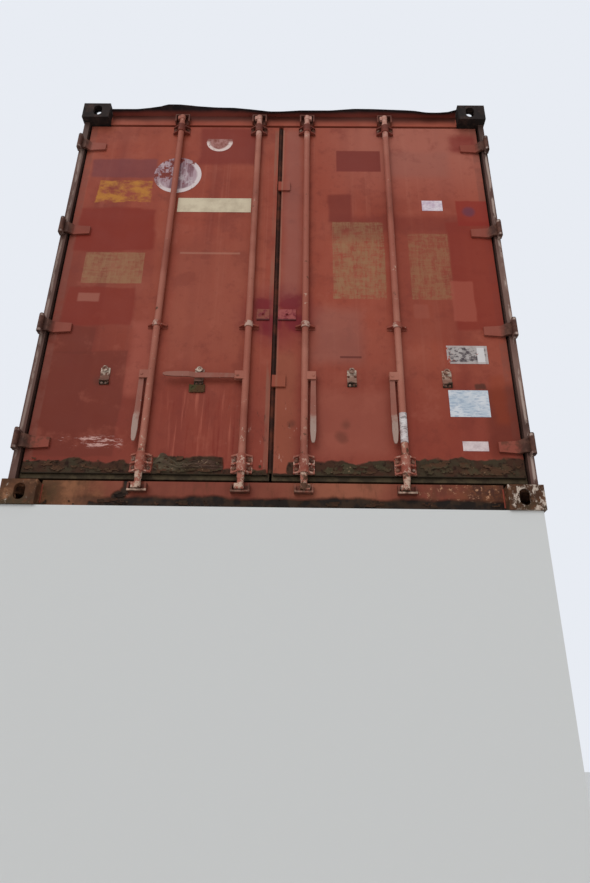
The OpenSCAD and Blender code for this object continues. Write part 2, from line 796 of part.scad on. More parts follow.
// Flat door skin, flush with the frame, with hat-shaped stiffeners on its inside
module door_panel(side, seam) {
    x0 = seam + stile_w;
    x1 = half_w - door_edge_u - stile_w;
    z0 = door_z + door_rail_h;
    z1 = door_top - door_rail_h;
    step = (z1 - z0) / (stiffener_n + 1);
    t = door_sheet_t;
    h = stiffener_h / 2;
    color(steel_red) on_side(side) door_end() {
        block([x0, door_v, z0], [x1, door_v + t, z1]);
        for (i = [1 : stiffener_n])
            translate([x0, door_v + t, z0 + i * step]) rotate([90, 0, 90]) linear_extrude(x1 - x0)
                difference() {
                    polygon([[0, -h], [stiffener_d, -h / 2], [stiffener_d, h / 2], [0, h]]);
                    polygon([[-1, -h + t], [stiffener_d - t, -h / 2 + t / 2],
                        [stiffener_d - t, h / 2 - t / 2], [-1, h - t]]);
                }
    }
}

module left_door_panel() { door_panel(-1, left_seam); }
module right_door_panel() { door_panel(1, right_seam); }

// Rubber seal round the edge of a door, wide below it and thin at the centre gap
module door_gasket(side, seam, seam_out) {
    x0 = seam;
    x1 = half_w - door_edge_u;
    g = gasket_out;
    v0 = door_v + gasket_v;
    color(rubber_black) on_side(side) door_end() difference() {
        block([x0 - seam_out, v0, door_z - gasket_low], [x1 + g, v0 + gasket_t, door_top + g]);
        block([x0, v0 - 1, door_z], [x1, v0 + gasket_t + 1, door_top]);
    }
}

module left_door_gasket() { door_gasket(-1, left_seam, left_gasket_seam); }
module right_door_gasket() { door_gasket(1, right_seam, right_gasket_seam); }

// Hinge blade: knuckle round the pin, strap across the post and a tail bent back on to the door
module hinge_blade() {
    bend_u = post_u + 3;
    tail_u = bend_u + 24;
    skew = 6;
    side_outline = [[0, -blade_h / 2], [blade_tip_u, -blade_tip_h / 2], [blade_tip_u, blade_tip_h / 2],
        [0, blade_h / 2]];
    plan = [[pin_in - 10, pin_in], [pin_in + 10, pin_in], [pin_in + 10, blade_front],
        [bend_u + skew, blade_front], [tail_u + skew, door_v - blade_t], [blade_tip_u, door_v - blade_t],
        [blade_tip_u, door_v], [tail_u, door_v], [bend_u, blade_back], [pin_in - 10, blade_back]];
    difference() {
        union() {
            intersection() {
                translate([0, 0, -blade_h / 2]) linear_extrude(blade_h) polygon(plan);
                translate([0, door_v + 1, 0]) rotate([90, 0, 0]) linear_extrude(door_v + 2)
                    polygon(side_outline);
            }
            translate([pin_in, pin_in, -blade_h / 2]) cylinder(r = knuckle_r, h = blade_h, $fn = fine);
        }
        translate([pin_in, pin_in, -blade_h]) cylinder(r = pin_r + 0.3, h = 2 * blade_h, $fn = fine);
    }
}

module hinge_blades(side) {
    color(gear_red) door_corner(side)
        for (i = [0 : hinge_n - 1])
            translate([0, 0, hinge_z + i * hinge_pitch]) hinge_blade();
}

module left_hinge_blades() { hinge_blades(-1); }
module right_hinge_blades() { hinge_blades(1); }

// A bar bracket: base plate on the door, flanges and a sleeve with the bar's bore
module bar_bracket(h, flanges) {
    w = bracket_w / 2;
    t = bracket_t;
    difference() {
        union() {
            block([-w, door_v - 4, -h / 2], [w, door_v, h / 2]);
            translate([0, bar_v, -h / 2]) cylinder(r = sleeve_r, h = h, $fn = fine);
            block([-sleeve_r, bar_v, -h / 2], [sleeve_r, door_v, h / 2]);
            for (z = flanges)
                translate([0, 0, z - t / 2]) linear_extrude(t)
                    polygon([[-w, door_v], [-w, door_v - 12], [-sleeve_r, bar_v - 6], [sleeve_r, bar_v - 6],
                        [w, door_v - 12], [w, door_v]]);
        }
        translate([0, bar_v, -h]) cylinder(r = bar_fit_r, h = 2 * h, $fn = fine);
    }
}

module bar_brackets(side) {
    color(gear_red) door_end() for (x = [side * inner_bar_x, side * outer_bar_x])
        translate([x, 0, 0]) {
            top_flange = (top_bracket_h - bracket_t) / 2;
            low_flange = (low_bracket_h - bracket_t) / 2;
            translate([0, 0, top_bracket_z]) bar_bracket(top_bracket_h, [-top_flange, top_flange]);
            translate([0, 0, mid_bracket_z]) bar_bracket(mid_bracket_h, [0]);
            translate([0, 0, low_bracket_z]) bar_bracket(low_bracket_h, [-low_flange, 0, low_flange]);
        }
}

module left_bar_brackets() { bar_brackets(-1); }
module right_bar_brackets() { bar_brackets(1); }

// Lock bar about its own axis: tube, cams at both ends and the fork that holds the handle.
// Reach is 1 where the fork and the cam noses point to +X and -1 where they point to -X.
module lock_bar(reach) {
    low_end = sill_h + 7;
    high_end = door_top + 6;
    cam_low = keeper_z + keeper_t + 6;
    cam_high = top_keeper_z - 6;
    fork_t = 7;
    fork_front = handle_back - handle_t - 1 - fork_t;
    fork_back = handle_back + 1;
    fork_end = handle_offset + 14;
    difference() {
        union() {
            translate([0, 0, low_end]) cylinder(r = bar_r, h = high_end - low_end, $fn = fine);
            translate([0, 0, cam_low]) cylinder(r = cam_r, h = low_end - cam_low + 1, $fn = fine);
            translate([0, 0, high_end - 1]) cylinder(r = cam_r, h = cam_high - high_end + 1, $fn = fine);
            on_side(reach) {
                cam_nose(cam_low);
                cam_nose(cam_high - cam_h);
                for (v = [fork_front, fork_back])
                    intersection() {
                        translate([0, v - bar_v, handle_z - hub_h / 2]) cube([fork_end, fork_t, hub_h]);
                        cylinder(r = fork_end, h = height, $fn = fine);
                    }
                translate([handle_offset, fork_back + fork_t - bar_v + 2, handle_z]) rotate([90, 0, 0])
                    cylinder(r = handle_pin_r, h = fork_back + fork_t - fork_front + 5, $fn = fine);
            }
        }
        translate([0, 0, low_end + 5])
            cylinder(r = bar_r - bar_wall, h = high_end - low_end - 10, $fn = fine);
    }
}

// Nose of a cam: a rounded finger to one side of the bar's axis
module cam_nose(z) {
    tip_r = 9;
    translate([0, 0, z]) {
        translate([cam_reach - tip_r, 0, 0]) cylinder(r = tip_r, h = cam_h, $fn = fine);
        translate([0, -tip_r, 0]) cube([cam_reach - tip_r, 2 * tip_r, cam_h]);
        translate([0, 0, -1]) cylinder(r = cam_r + 2, h = cam_h + 2, $fn = fine);
    }
}

module place_bar(x, reach) {
    color(gear_red) door_end() translate([x, bar_v, 0]) lock_bar(reach);
}

module lock_bar_1() { place_bar(-outer_bar_x, -1); }
module lock_bar_2() { place_bar(-inner_bar_x, -1); }
module lock_bar_3() { place_bar(inner_bar_x, 1); }
module lock_bar_4() { place_bar(outer_bar_x, -1); }

// Handle hanging from its pin at the origin: eye, flat shank and a grip set forward
module handle() {
    t = handle_t;
    w = handle_w / 2;
    l = handle_l;
    step = retainer_reach + 20;
    side_view = [[0, 16], [0, -step], [-handle_set, -step - 30], [-handle_set, -l], [-handle_set - t, -l],
        [-handle_set - t, -step - 27], [-t, -step + 3], [-t, 16]];
    difference() {
        union() {
            intersection() {
                rotate([90, 0, 90]) translate([0, 0, -w]) linear_extrude(2 * w) polygon(side_view);
                rotate([90, 0, 0]) linear_extrude(handle_set + t + 2)
                    polygon([[-w + 2, 0], [-w, -step], [-w, -l + 60], [-w + 4, -l + 14], [-w + 9, -l],
                        [w - 9, -l], [w - 4, -l + 14], [w, -l + 60], [w, -step], [w - 2, 0]]);
            }
            rotate([90, 0, 0]) cylinder(r = w + 1, h = t, $fn = fine);
        }
        rotate([-90, 0, 0]) translate([0, 0, -t - 1])
            cylinder(r = handle_pin_r + 0.3, h = t + 2, $fn = fine);
    }
}

// Turn is 0 for a hanging handle and 90 for one that lies level to -X
module place_handle(pin_x, turn) {
    color(gear_red) door_end() translate([pin_x, handle_back, handle_z]) rotate([0, turn, 0]) handle();
}

module handle_1() { place_handle(-outer_bar_x - handle_offset, 0); }
module handle_2() { place_handle(-inner_bar_x - handle_offset, 90); }
module handle_3() { place_handle(inner_bar_x + handle_offset, 0); }
module handle_4() { place_handle(outer_bar_x - handle_offset, 0); }

// Retainer: base plate, a shelf under the handle's level and a catch ring above it
module handle_retainer() {
    w = retainer_w / 2;
    ring_r = 15;
    ring_z = handle_w / 2 + ring_r + 12;
    block([-w, door_v - 5, -44], [w, door_v, ring_z + 8]);
    block([-w, retainer_front, -28], [w, door_v, -20]);
    for (s = [-1, 1])
        block([s * (w - 3) - 3, retainer_front + 6, -40], [s * (w - 3) + 3, door_v, -20]);
    block([-6, door_v - 16, ring_z - 8], [6, door_v, ring_z + 4]);
    difference() {
        translate([0, door_v - 10, ring_z]) rotate([90, 0, 0]) cylinder(r = ring_r, h = 8, $fn = fine);
        translate([0, door_v - 9, ring_z]) rotate([90, 0, 0]) cylinder(r = 8, h = 10, $fn = fine);
    }
}

module handle_retainers(side) {
    color(gear_red) door_end()
        for (x = [inner_bar_x + handle_offset, outer_bar_x + handle_offset])
            translate([side * (x + retainer_reach), 0, handle_z]) handle_retainer();
}

module left_handle_retainers() { handle_retainers(-1); }
module right_handle_retainers() { handle_retainers(1); }

// Plates for a seal on the inner edges of the doors
module seal_plate(side, x0, x1) {
    color(dark_steel) on_side(side) door_end() difference() {
        block([x0, door_v - seal_t, seal_z - seal_h / 2], [x1, door_v, seal_z + seal_h / 2]);
        translate([(x0 + x1) / 2, door_v + 1, seal_z]) rotate([90, 0, 0])
            cylinder(r = 7, h = 12, $fn = fine);
    }
}

module left_seal_plate() { seal_plate(-1, left_seam + 18, left_seal_x); }
module right_seal_plate() { seal_plate(1, right_seam + 2, right_seal_x); }

// Overlap lugs of the right door, reaching into the centre gap
module overlap_lugs() {
    clear = 6;
    color(steel_red) door_end() for (z = [upper_lug_z, lower_lug_z])
        block([-left_seam + clear, door_v - clear - 4, z - lug_h / 2], [lug_x, door_v, z + lug_h / 2]);
}

bottom_corner_fittings();
top_corner_fittings();
left_door_post();
right_door_post();
left_front_post();
right_front_post();
left_top_rail();
right_top_rail();
left_bottom_rail();
right_bottom_rail();
front_top_rail();
front_bottom_rail();
door_header();
header_gutter();
door_sill();
left_side_wall();
right_side_wall();
front_wall();
roof_sheet();
floor_boards();
cross_members();
fork_pockets();
top_keepers();
bottom_keepers();
left_hinge_pins();
right_hinge_pins();
left_door_frame();
left_door_panel();
left_door_gasket();
left_hinge_blades();
left_bar_brackets();
left_handle_retainers();
left_seal_plate();
right_door_frame();
right_door_panel();
right_door_gasket();
right_hinge_blades();
right_bar_brackets();
right_handle_retainers();
right_seal_plate();
overlap_lugs();
lock_bar_1();
lock_bar_2();
lock_bar_3();
lock_bar_4();
handle_1();
handle_2();
handle_3();
handle_4();
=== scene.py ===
import json
import math
import random

import bmesh
import bpy
from mathutils import Matrix, Vector, noise


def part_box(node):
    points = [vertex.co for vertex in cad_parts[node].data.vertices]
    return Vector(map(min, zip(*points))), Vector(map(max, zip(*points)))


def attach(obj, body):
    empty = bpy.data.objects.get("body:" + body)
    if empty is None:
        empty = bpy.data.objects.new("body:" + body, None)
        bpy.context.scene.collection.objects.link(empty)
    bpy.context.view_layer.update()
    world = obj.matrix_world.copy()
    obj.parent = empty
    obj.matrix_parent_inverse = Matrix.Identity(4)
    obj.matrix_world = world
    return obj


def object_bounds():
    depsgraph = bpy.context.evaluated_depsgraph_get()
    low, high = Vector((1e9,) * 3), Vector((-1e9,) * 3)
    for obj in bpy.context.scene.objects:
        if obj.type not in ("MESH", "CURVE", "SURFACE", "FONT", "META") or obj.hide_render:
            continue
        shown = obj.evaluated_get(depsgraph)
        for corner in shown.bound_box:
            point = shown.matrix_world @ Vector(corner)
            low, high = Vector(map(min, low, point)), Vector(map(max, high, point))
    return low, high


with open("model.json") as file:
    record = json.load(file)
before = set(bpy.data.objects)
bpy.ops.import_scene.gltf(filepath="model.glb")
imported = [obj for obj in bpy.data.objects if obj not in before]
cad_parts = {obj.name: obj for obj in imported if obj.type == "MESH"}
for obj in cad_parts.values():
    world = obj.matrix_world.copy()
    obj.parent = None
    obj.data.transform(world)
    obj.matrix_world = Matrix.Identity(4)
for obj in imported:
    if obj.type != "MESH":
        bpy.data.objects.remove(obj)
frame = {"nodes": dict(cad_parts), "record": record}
cad_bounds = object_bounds()
nodes = frame["nodes"]

# Camera: where the photo was taken, below the bottom of the container and close to the doors
camera_place = Vector((0.1329, -5.7632, -0.9641))
camera_right = Vector((0.99989, 0.00446, 0.01432))
camera_forward = Vector((-0.01012, 0.90538, 0.42448))
camera_lens = 26.61

camera_data = bpy.data.cameras.new("camera")
camera_data.lens = camera_lens
camera_data.sensor_width = 36
camera = bpy.data.objects.new("camera", camera_data)
bpy.context.scene.collection.objects.link(camera)
camera_up = camera_right.cross(camera_forward)
camera.matrix_world = Matrix.Translation(camera_place) @ Matrix(
    (camera_right, camera_up, -camera_forward)).transposed().to_4x4()
bpy.context.scene.camera = camera

# Places that the frame gives, in metres
low, high = cad_bounds
half_width = high.x
end_y = low.y
container_top = high.z
door_low, door_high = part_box("right_door_frame")
door_face = door_low.y
door_bottom = door_low.z
sill_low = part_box("door_sill")[0]
header_low, header_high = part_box("door_header")
seal_plate_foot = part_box("right_seal_plate")[0].z
bracket_low, bracket_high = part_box("left_bar_brackets")
floor_low, floor_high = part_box("floor_boards")
cross_low, cross_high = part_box("cross_members")

# Depths behind the end plane at which things lie on the doors and the sill
film_depth = 0.0619
crust_depth = 0.0615
sill_crust_depth = 0.0595
plate_face = 0.0575
bar_depth = 0.038

# The lock gear: the middles of the bars and of the retainers, and the height of the handles
bar_x = {1: -0.615, 2: -0.145, 3: 0.145, 4: 0.615}
retainer_x = {"left_door": (-0.378, -0.848), "right_door": (0.378, 0.848)}
handle_height = 0.69


# Small helpers for colours and meshes

def linear(red, green, blue):
    """A display colour of 0 to 255 as the renderer's linear colour."""
    return tuple(((c / 255 + 0.055) / 1.055) ** 2.4 if c > 10 else c / 3294.6 for c in (red, green, blue))


def on_door(x, depth, z):
    """A place on the door end: depth in metres behind the end plane."""
    return Vector((x, end_y + depth, z))


def fractal(x, z, seed, octaves=4):
    """Soft noise from about -1 to 1 over a plane seen from the doors."""
    return noise.fractal(Vector((x, seed * 7.3, z)), 0.9, 2.1, octaves)


upright = Matrix.Rotation(math.radians(90), 4, "X")


def door_grid(mesh, x, z, width, height, depth, columns, lines):
    """A flat grid parallel to the doors, with its middle at x and z."""
    bmesh.ops.create_grid(mesh, x_segments=columns, y_segments=lines, size=0.5)
    place = Matrix.Translation(on_door(x, depth, z))
    size = Matrix.Diagonal((width, height, 1, 1))
    bmesh.ops.transform(mesh, matrix=place @ upright @ size, verts=mesh.verts)


def thicken(mesh, thickness):
    """Gives a sheet its thickness, outwards from the doors where it is below zero."""
    grown = bmesh.ops.extrude_face_region(mesh, geom=mesh.faces[:])
    outer = [item for item in grown["geom"] if isinstance(item, bmesh.types.BMVert)]
    bmesh.ops.translate(mesh, vec=(0, thickness, 0), verts=outer)
    return outer


def finished_piece(name, mesh, body, material, smooth=True):
    """A new piece from a bmesh, riding on a body."""
    data = bpy.data.meshes.new(name)
    bmesh.ops.recalc_face_normals(mesh, faces=mesh.faces)
    mesh.to_mesh(data)
    mesh.free()
    data.materials.append(material)
    if smooth:
        data.polygons.foreach_set("use_smooth", [True] * len(data.polygons))
    piece = bpy.data.objects.new(name, data)
    bpy.context.scene.collection.objects.link(piece)
    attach(piece, body)
    return piece


class Finish:
    """A node material, with short calls for the nodes that make it."""

    def __init__(self, name):
        self.material = bpy.data.materials.new(name)
        self.material.use_nodes = True
        self.tree = self.material.node_tree
        self.tree.nodes.clear()
        self.shader = self.add("ShaderNodeBsdfPrincipled")
        output = self.add("ShaderNodeOutputMaterial")
        self.join(self.shader.outputs["BSDF"], output.inputs["Surface"])
        self.place = self.add("ShaderNodeTexCoord").outputs["Object"]
        parts = self.add("ShaderNodeSeparateXYZ")
        self.join(self.place, parts.inputs[0])
        self.x, self.y, self.z = parts.outputs[0], parts.outputs[1], parts.outputs[2]

    def add(self, kind):
        return self.tree.nodes.new(kind)

    def join(self, source, target):
        self.tree.links.new(source, target)

    def feed(self, socket, value):
        """Sets a socket from another socket, from a display colour of 0 to 255, or from a number."""
        if isinstance(value, bpy.types.NodeSocket):
            self.join(value, socket)
        elif isinstance(value, tuple):
            socket.default_value = (*linear(*value), 1)
        else:
            socket.default_value = value

    def math(self, operation, a, b=0.0):
        node = self.add("ShaderNodeMath")
        node.operation = operation
        self.feed(node.inputs[0], a)
        self.feed(node.inputs[1], b)
        return node.outputs[0]

    def all_by(self, operation, values):
        total = values[0]
        for value in values[1:]:
            total = self.math(operation, total, value)
        return total

    def times(self, *values):
        return self.all_by("MULTIPLY", values)

    def plus(self, *values):
        return self.all_by("ADD", values)

    def most(self, *values):
        return self.all_by("MAXIMUM", values)

    def smooth(self, value, start, end):
        """0 at start and 1 at end, with a soft step between."""
        node = self.add("ShaderNodeMapRange")
        node.interpolation_type = "SMOOTHSTEP"
        self.feed(node.inputs["Value"], value)
        rising = start < end
        node.inputs["From Min"].default_value = start if rising else end
        node.inputs["From Max"].default_value = end if rising else start
        node.inputs["To Min"].default_value = 0 if rising else 1
        node.inputs["To Max"].default_value = 1 if rising else 0
        return node.outputs["Result"]

    def stretched(self, x=1.0, y=1.0, z=1.0, shift=(0, 0, 0)):
        """The place, scaled along each axis."""
        node = self.add("ShaderNodeMapping")
        self.join(self.place, node.inputs["Vector"])
        node.inputs["Scale"].default_value = (x, y, z)
        node.inputs["Location"].default_value = shift
        return node.outputs["Vector"]

    def noise(self, scale, detail=4.0, roughness=0.55, stretch=None, distortion=0.0):
        """Noise over the place, which may be scaled along x, y and z, and shifted."""
        node = self.add("ShaderNodeTexNoise")
        self.join(self.stretched(*stretch) if stretch else self.place, node.inputs["Vector"])
        node.inputs["Scale"].default_value = scale
        node.inputs["Detail"].default_value = detail
        node.inputs["Roughness"].default_value = roughness
        node.inputs["Distortion"].default_value = distortion
        return node.outputs["Fac"]

    def blots(self, start, end, *noise):
        """Noise as a mask: 0 at start and 1 at end."""
        return self.smooth(self.noise(*noise), start, end)

    def waver(self, value, reach, *noise):
        """The value, pushed up and down by noise over a reach."""
        return self.plus(value, self.times(self.plus(self.noise(*noise), -0.5), reach))

    def mix(self, fac, a, b):
        node = self.add("ShaderNodeMix")
        node.data_type = "RGBA"
        self.feed(node.inputs[0], fac)
        self.feed(node.inputs[6], a)
        self.feed(node.inputs[7], b)
        return node.outputs[2]

    def lay(self, mask, tone, amount=1.0):
        """Lays a tone over the colour so far, as far as the mask and the amount let it."""
        if amount != 1.0:
            mask = self.times(mask, amount)
        self.color = self.mix(mask, self.color, tone)

    def between(self, value, start, end, soft):
        rise = self.smooth(value, start - soft, start + soft)
        fall = self.smooth(value, end + soft, end - soft)
        return self.times(rise, fall)

    def patch(self, x0, x1, z0, z1, soft=0.006, wobble=0.0, scale=9.0):
        """1 inside a rectangle seen from the doors, with a soft and wavy edge."""
        x, z = self.x, self.z
        if wobble:
            wave = self.times(self.plus(self.noise(scale, 3), -0.5), wobble)
            x, z = self.plus(x, wave), self.plus(z, wave)
        return self.times(self.between(x, x0, x1, soft), self.between(z, z0, z1, soft))

    def disc(self, x, z, radius, soft=0.004, wobble=0.0):
        """1 inside a circle seen from the doors."""
        dx, dz = self.plus(self.x, -x), self.plus(self.z, -z)
        away = self.math("SQRT", self.plus(self.times(dx, dx), self.times(dz, dz)))
        if wobble:
            away = self.plus(away, self.times(self.plus(self.noise(14, 3), -0.5), wobble))
        return self.smooth(away, radius + soft, radius - soft)

    def relief(self, *heights):
        """Bump from (height, depth in metres) pairs."""
        total = None
        for height, depth in heights:
            part = self.times(height, depth)
            total = part if total is None else self.plus(total, part)
        node = self.add("ShaderNodeBump")
        node.inputs["Strength"].default_value = 1.0
        node.inputs["Distance"].default_value = 1.0
        self.join(total, node.inputs["Height"])
        self.join(node.outputs["Normal"], self.shader.inputs["Normal"])

    def surface(self, roughness):
        """The finished material, with the dull sheen of old paint."""
        self.feed(self.shader.inputs["Base Color"], self.color)
        self.feed(self.shader.inputs["Specular IOR Level"], 0.12)
        self.feed(self.shader.inputs["Roughness"], roughness)
        self.feed(self.shader.inputs["Metallic"], 0.0)
        return self.material


# Paint and rust, in display colours

brick = (153, 71, 53)
brick_dark = (133, 57, 42)
brick_light = (162, 86, 67)
brick_deep = (120, 43, 32)
rust = (94, 52, 32)
rust_dark = (52, 34, 26)
rust_orange = (150, 84, 44)


def weathered_paint(name, base, dark, light, rust_amount=0.3, streaks=0.5, roughness=0.62):
    """Old paint: cloudy fading, vertical streaks, fine specks and small rust spots."""
    f = Finish(name)
    f.color = f.mix(f.blots(0.42, 0.7, 1.3, 5, 0.6), base, light)
    f.lay(f.blots(0.5, 0.75, 2.1, 4, 0.6, (1, 1, 1, (3, 5, 7))), dark, 0.8)
    f.lay(f.blots(0.5, 0.8, 1.0, 5, 0.65, (26, 26, 1.1)), dark, streaks)
    f.lay(f.blots(0.55, 0.85, 1.0, 4, 0.6, (15, 15, 0.8, (9, 2, 4))), light, streaks * 0.6)
    f.lay(f.blots(0.62, 0.72, 110, 3, 0.7), dark, 0.25)
    spots = f.blots(0.74 - 0.16 * rust_amount, 0.8, 7, 8, 0.7, (1, 1, 1, (1, 8, 3)))
    f.spots = f.times(spots, f.blots(0.36, 0.56, 38, 4, 0.7))
    f.lay(f.spots, rust)
    rough = f.plus(f.times(f.noise(9, 4), 0.2), roughness - 0.1)
    f.rough = f.plus(rough, f.times(f.spots, 0.2))
    return f


def paint_relief(f, dents, *more):
    """Painted steel: soft dents, a fine grain, and what else stands up or has flaked off."""
    f.relief((f.noise(2.6, 3, 0.5), dents), (f.noise(320, 2), 0.00012), *more)


def finish_paint(f, dents=0.0012):
    paint_relief(f, dents, (f.spots, 0.0004))
    return f.surface(f.rough)


def plain_paint(name, base, dark, light, **options):
    return finish_paint(weathered_paint(name, base, dark, light, **options))


def door_paint():
    """The doors: fresh and faded patches, marks of lost labels, and the eaten band at the bottom."""
    f = weathered_paint("door_paint", brick, brick_dark, brick_light, 0.2, 0.3)
    front = f.smooth(f.y, door_face + 0.0016, door_face + 0.001)

    def lay(mask, tone, amount):
        f.lay(f.times(mask, front), tone, amount)

    down = f.noise(1.0, 6, 0.75, (80, 80, 12), 0.3)
    across = f.noise(1.0, 6, 0.75, (16, 16, 95, (2, 2, 2)), 0.3)
    blots = f.noise(17, 6, 0.75, (1, 1, 1, (6, 1, 4)))
    worn = f.smooth(f.plus(f.times(down, 0.45), f.times(across, 0.45), f.times(blots, 0.5)), 0.58, 0.8)
    # Broad tones; painted shade deepens both doors towards the foot and the left door towards its hinges;
    # the right door paler on top
    wide_bands = f.noise(1.0, 3, 0.5, (5.5, 5.5, 0.25, (4, 4, 4)))
    lay(f.smooth(wide_bands, 0.5, 0.7), (166, 84, 62), 0.5)
    lay(f.smooth(wide_bands, 0.46, 0.3), (124, 52, 42), 0.5)
    thin_bands = f.noise(1.0, 4, 0.6, (24, 24, 0.5, (7, 3, 1)))
    lay(f.times(f.smooth(thin_bands, 0.56, 0.72), f.smooth(f.z, 0.2, 0.9)), (170, 96, 76), 0.35)
    # Painted shade: darker towards the foot of both doors, and towards the lower left of the left door
    lay(f.smooth(f.z, 1.2, 0.35), (124, 50, 40), 0.55)
    lay(f.times(f.smooth(f.x, -0.45, -1.1), f.smooth(f.z, 2.1, 1.2)), (112, 46, 35), 0.6)
    lay(f.patch(-0.745, -0.6, 0.58, 1.02, 0.03, 0.06, 4), (160, 82, 66), 0.85)
    lay(f.patch(-1.2, -0.755, 0.26, 0.84, 0.006, 0.07, 3), (106, 46, 34), 0.5)
    lay(f.patch(-1.2, -0.93, 0.83, 0.99, 0.006, 0.05, 4), (106, 46, 34), 0.5)
    lay(f.times(f.smooth(f.x, 0.1, 0.7), f.smooth(f.z, 1.7, 2.3)), (174, 106, 90), 0.65)
    lay(f.times(f.between(f.x, -0.56, -0.17, 0.03), f.between(f.z, 0.75, 1.55, 0.15)), (152, 82, 64),
        0.5)
    mottle = f.noise(6.5, 5, 0.65, (1, 1, 1, (7, 7, 2)))
    lay(f.smooth(mottle, 0.52, 0.66), (118, 50, 40), 0.35)
    lay(f.smooth(mottle, 0.46, 0.32), (166, 90, 72), 0.3)
    lay(f.blots(0.56, 0.68, 21, 6, 0.7, (1, 1, 1, (3, 8, 8))), (112, 50, 40), 0.25)
    hinge_edge = f.smooth(f.math("ABSOLUTE", f.x), door_high.x - 0.042, door_high.x - 0.034)
    lay(f.times(hinge_edge, f.blots(0.3, 0.55, 12, 4, 0.6)), (128, 74, 62), 0.5)
    # Left door, from the top down
    lay(f.patch(-0.5, -0.125, 2.15, 2.46, 0.02, 0.05), (128, 50, 40), 0.85)
    lay(f.patch(-1.13, -0.7, 1.5, 1.8, 0.012, 0.1, 3), (130, 44, 31), 0.85)
    lay(f.patch(-1.12, -0.76, 1.0, 1.24, 0.01, 0.06, 3), (130, 46, 33), 0.75)
    lay(f.patch(-1.12, -0.74, 2.04, 2.19, 0.012, 0.03), (118, 60, 62), 0.7)
    yellow = f.times(f.patch(-1.06, -0.745, 1.85, 2.015, 0.004, 0.05, 14),
        f.blots(0.38, 0.62, 11, 6, 0.7, (1, 1, 1.6)))
    lay(yellow, (190, 128, 50), 0.8)
    lay(f.times(f.patch(-1.06, -0.735, 1.27, 1.48, 0.003, 0.008), f.plus(f.times(worn, 0.7), 0.3)),
        (152, 110, 78), 0.85)
    lay(f.patch(-0.545, -0.216, 1.474, 1.486, 0.005, 0.004), (176, 120, 100), 0.55)
    lay(f.patch(-1.06, -0.945, 1.15, 1.205, 0.006, 0.01), (176, 116, 98), 0.45)
    scratch = f.blots(0.52, 0.6, 1.0, 4, 0.7, (14, 14, 60))
    lay(f.times(f.patch(-1.016, -0.717, 0.305, 0.365, 0.012, 0.02), scratch), (205, 160, 150), 0.9)
    edge_wear = f.blots(0.3, 0.6, 1.0, 4, 0.6, (20, 20, 3))
    lay(f.times(f.patch(-0.046, -0.02, 0.2, 2.44, 0.004, 0.006), edge_wear), (140, 98, 80), 0.6)
    # Right door
    lay(f.times(f.patch(0.0, 0.01, 0.2, 2.44, 0.002), edge_wear), (158, 112, 92), 0.6)
    lay(f.patch(-0.01, 0.1, 0.1, 0.84, 0.03, 0.03), (150, 84, 62), 0.6)
    lay(f.patch(0.32, 0.58, 2.1, 2.268, 0.004), (122, 50, 42), 0.9)
    lay(f.patch(0.27, 0.4, 1.71, 1.92, 0.012, 0.03), (120, 48, 38), 0.8)
    lay(f.patch(0.29, 1.05, 1.64, 1.76, 0.03, 0.05), (122, 50, 40), 0.6)
    lay(f.patch(0.64, 0.98, 0.9, 1.66, 0.05, 0.08, 4), (128, 58, 46), 0.4)
    lay(f.patch(0.02, 0.12, 1.14, 2.44, 0.03, 0.04, 4), (150, 100, 90), 0.4)
    lay(f.patch(0.18, 0.44, 0.78, 1.12, 0.05, 0.06, 5), (152, 100, 88), 0.4)
    lay(f.times(f.patch(0.292, 0.575, 1.18, 1.71, 0.004, 0.01), worn), (152, 112, 80), 0.85)
    lay(f.times(f.patch(0.708, 0.93, 1.18, 1.63, 0.004, 0.01), worn), (148, 102, 72), 0.75)
    ochre = f.blots(0.44, 0.66, 34, 4, 0.6, (1, 1, 0.22, (2, 6, 9)))
    lay(f.times(f.patch(0.31, 0.56, 1.2, 1.62, 0.03, 0.04), ochre), (160, 116, 82), 0.34)
    lay(f.times(f.patch(0.73, 0.91, 1.2, 1.52, 0.03, 0.04), ochre), (156, 110, 78), 0.3)
    lay(f.patch(0.292, 0.575, 1.58, 1.71, 0.03, 0.04), (116, 56, 42), 0.35)
    lay(f.patch(0.71, 0.79, 1.06, 1.15, 0.008, 0.02), (156, 84, 68), 0.5)
    lay(f.patch(0.93, 1.2, 0.99, 1.72, 0.012, 0.06, 3), (132, 47, 35), 0.75)
    lay(f.patch(0.994, 1.2, 1.69, 1.875, 0.006, 0.02), (140, 44, 34), 0.8)
    lay(f.disc(1.064, 1.793, 0.034, 0.014, 0.02), (96, 56, 74), 0.7)
    lay(f.patch(0.915, 1.035, 1.045, 1.302, 0.006, 0.02), (160, 80, 64), 0.75)
    lay(f.patch(1.0, 1.16, 2.25, 2.4, 0.03, 0.06, 5), (124, 40, 34), 0.7)
    lay(f.patch(0.322, 0.43, 0.813, 0.825, 0.003), (96, 44, 38), 0.8)
    lay(f.patch(0.2, 0.56, 0.28, 0.62, 0.04, 0.08, 6), (156, 86, 70), 0.5)
    lay(f.patch(1.02, 1.2, 0.27, 0.66, 0.03, 0.08, 6), (100, 42, 30), 0.6)
    lay(f.patch(1.06, 1.13, 0.45, 0.72, 0.02, 0.05, 8), (140, 58, 32), 0.45)
    lay(f.patch(0.985, 1.035, 0.64, 0.672, 0.006, 0.02, 20), (76, 46, 36), 0.8)
    smudges = f.most(f.disc(0.325, 0.37, 0.026, 0.02, 0.05), f.disc(0.345, 0.44, 0.02, 0.02, 0.05),
        f.disc(0.085, 0.44, 0.016, 0.012, 0.03), f.disc(-0.885, 0.665, 0.02, 0.02, 0.05))
    lay(smudges, (92, 50, 38), 0.5)
    lay(f.patch(0.6, 0.98, 2.06, 2.26, 0.03, 0.04), (150, 92, 80), 0.4)
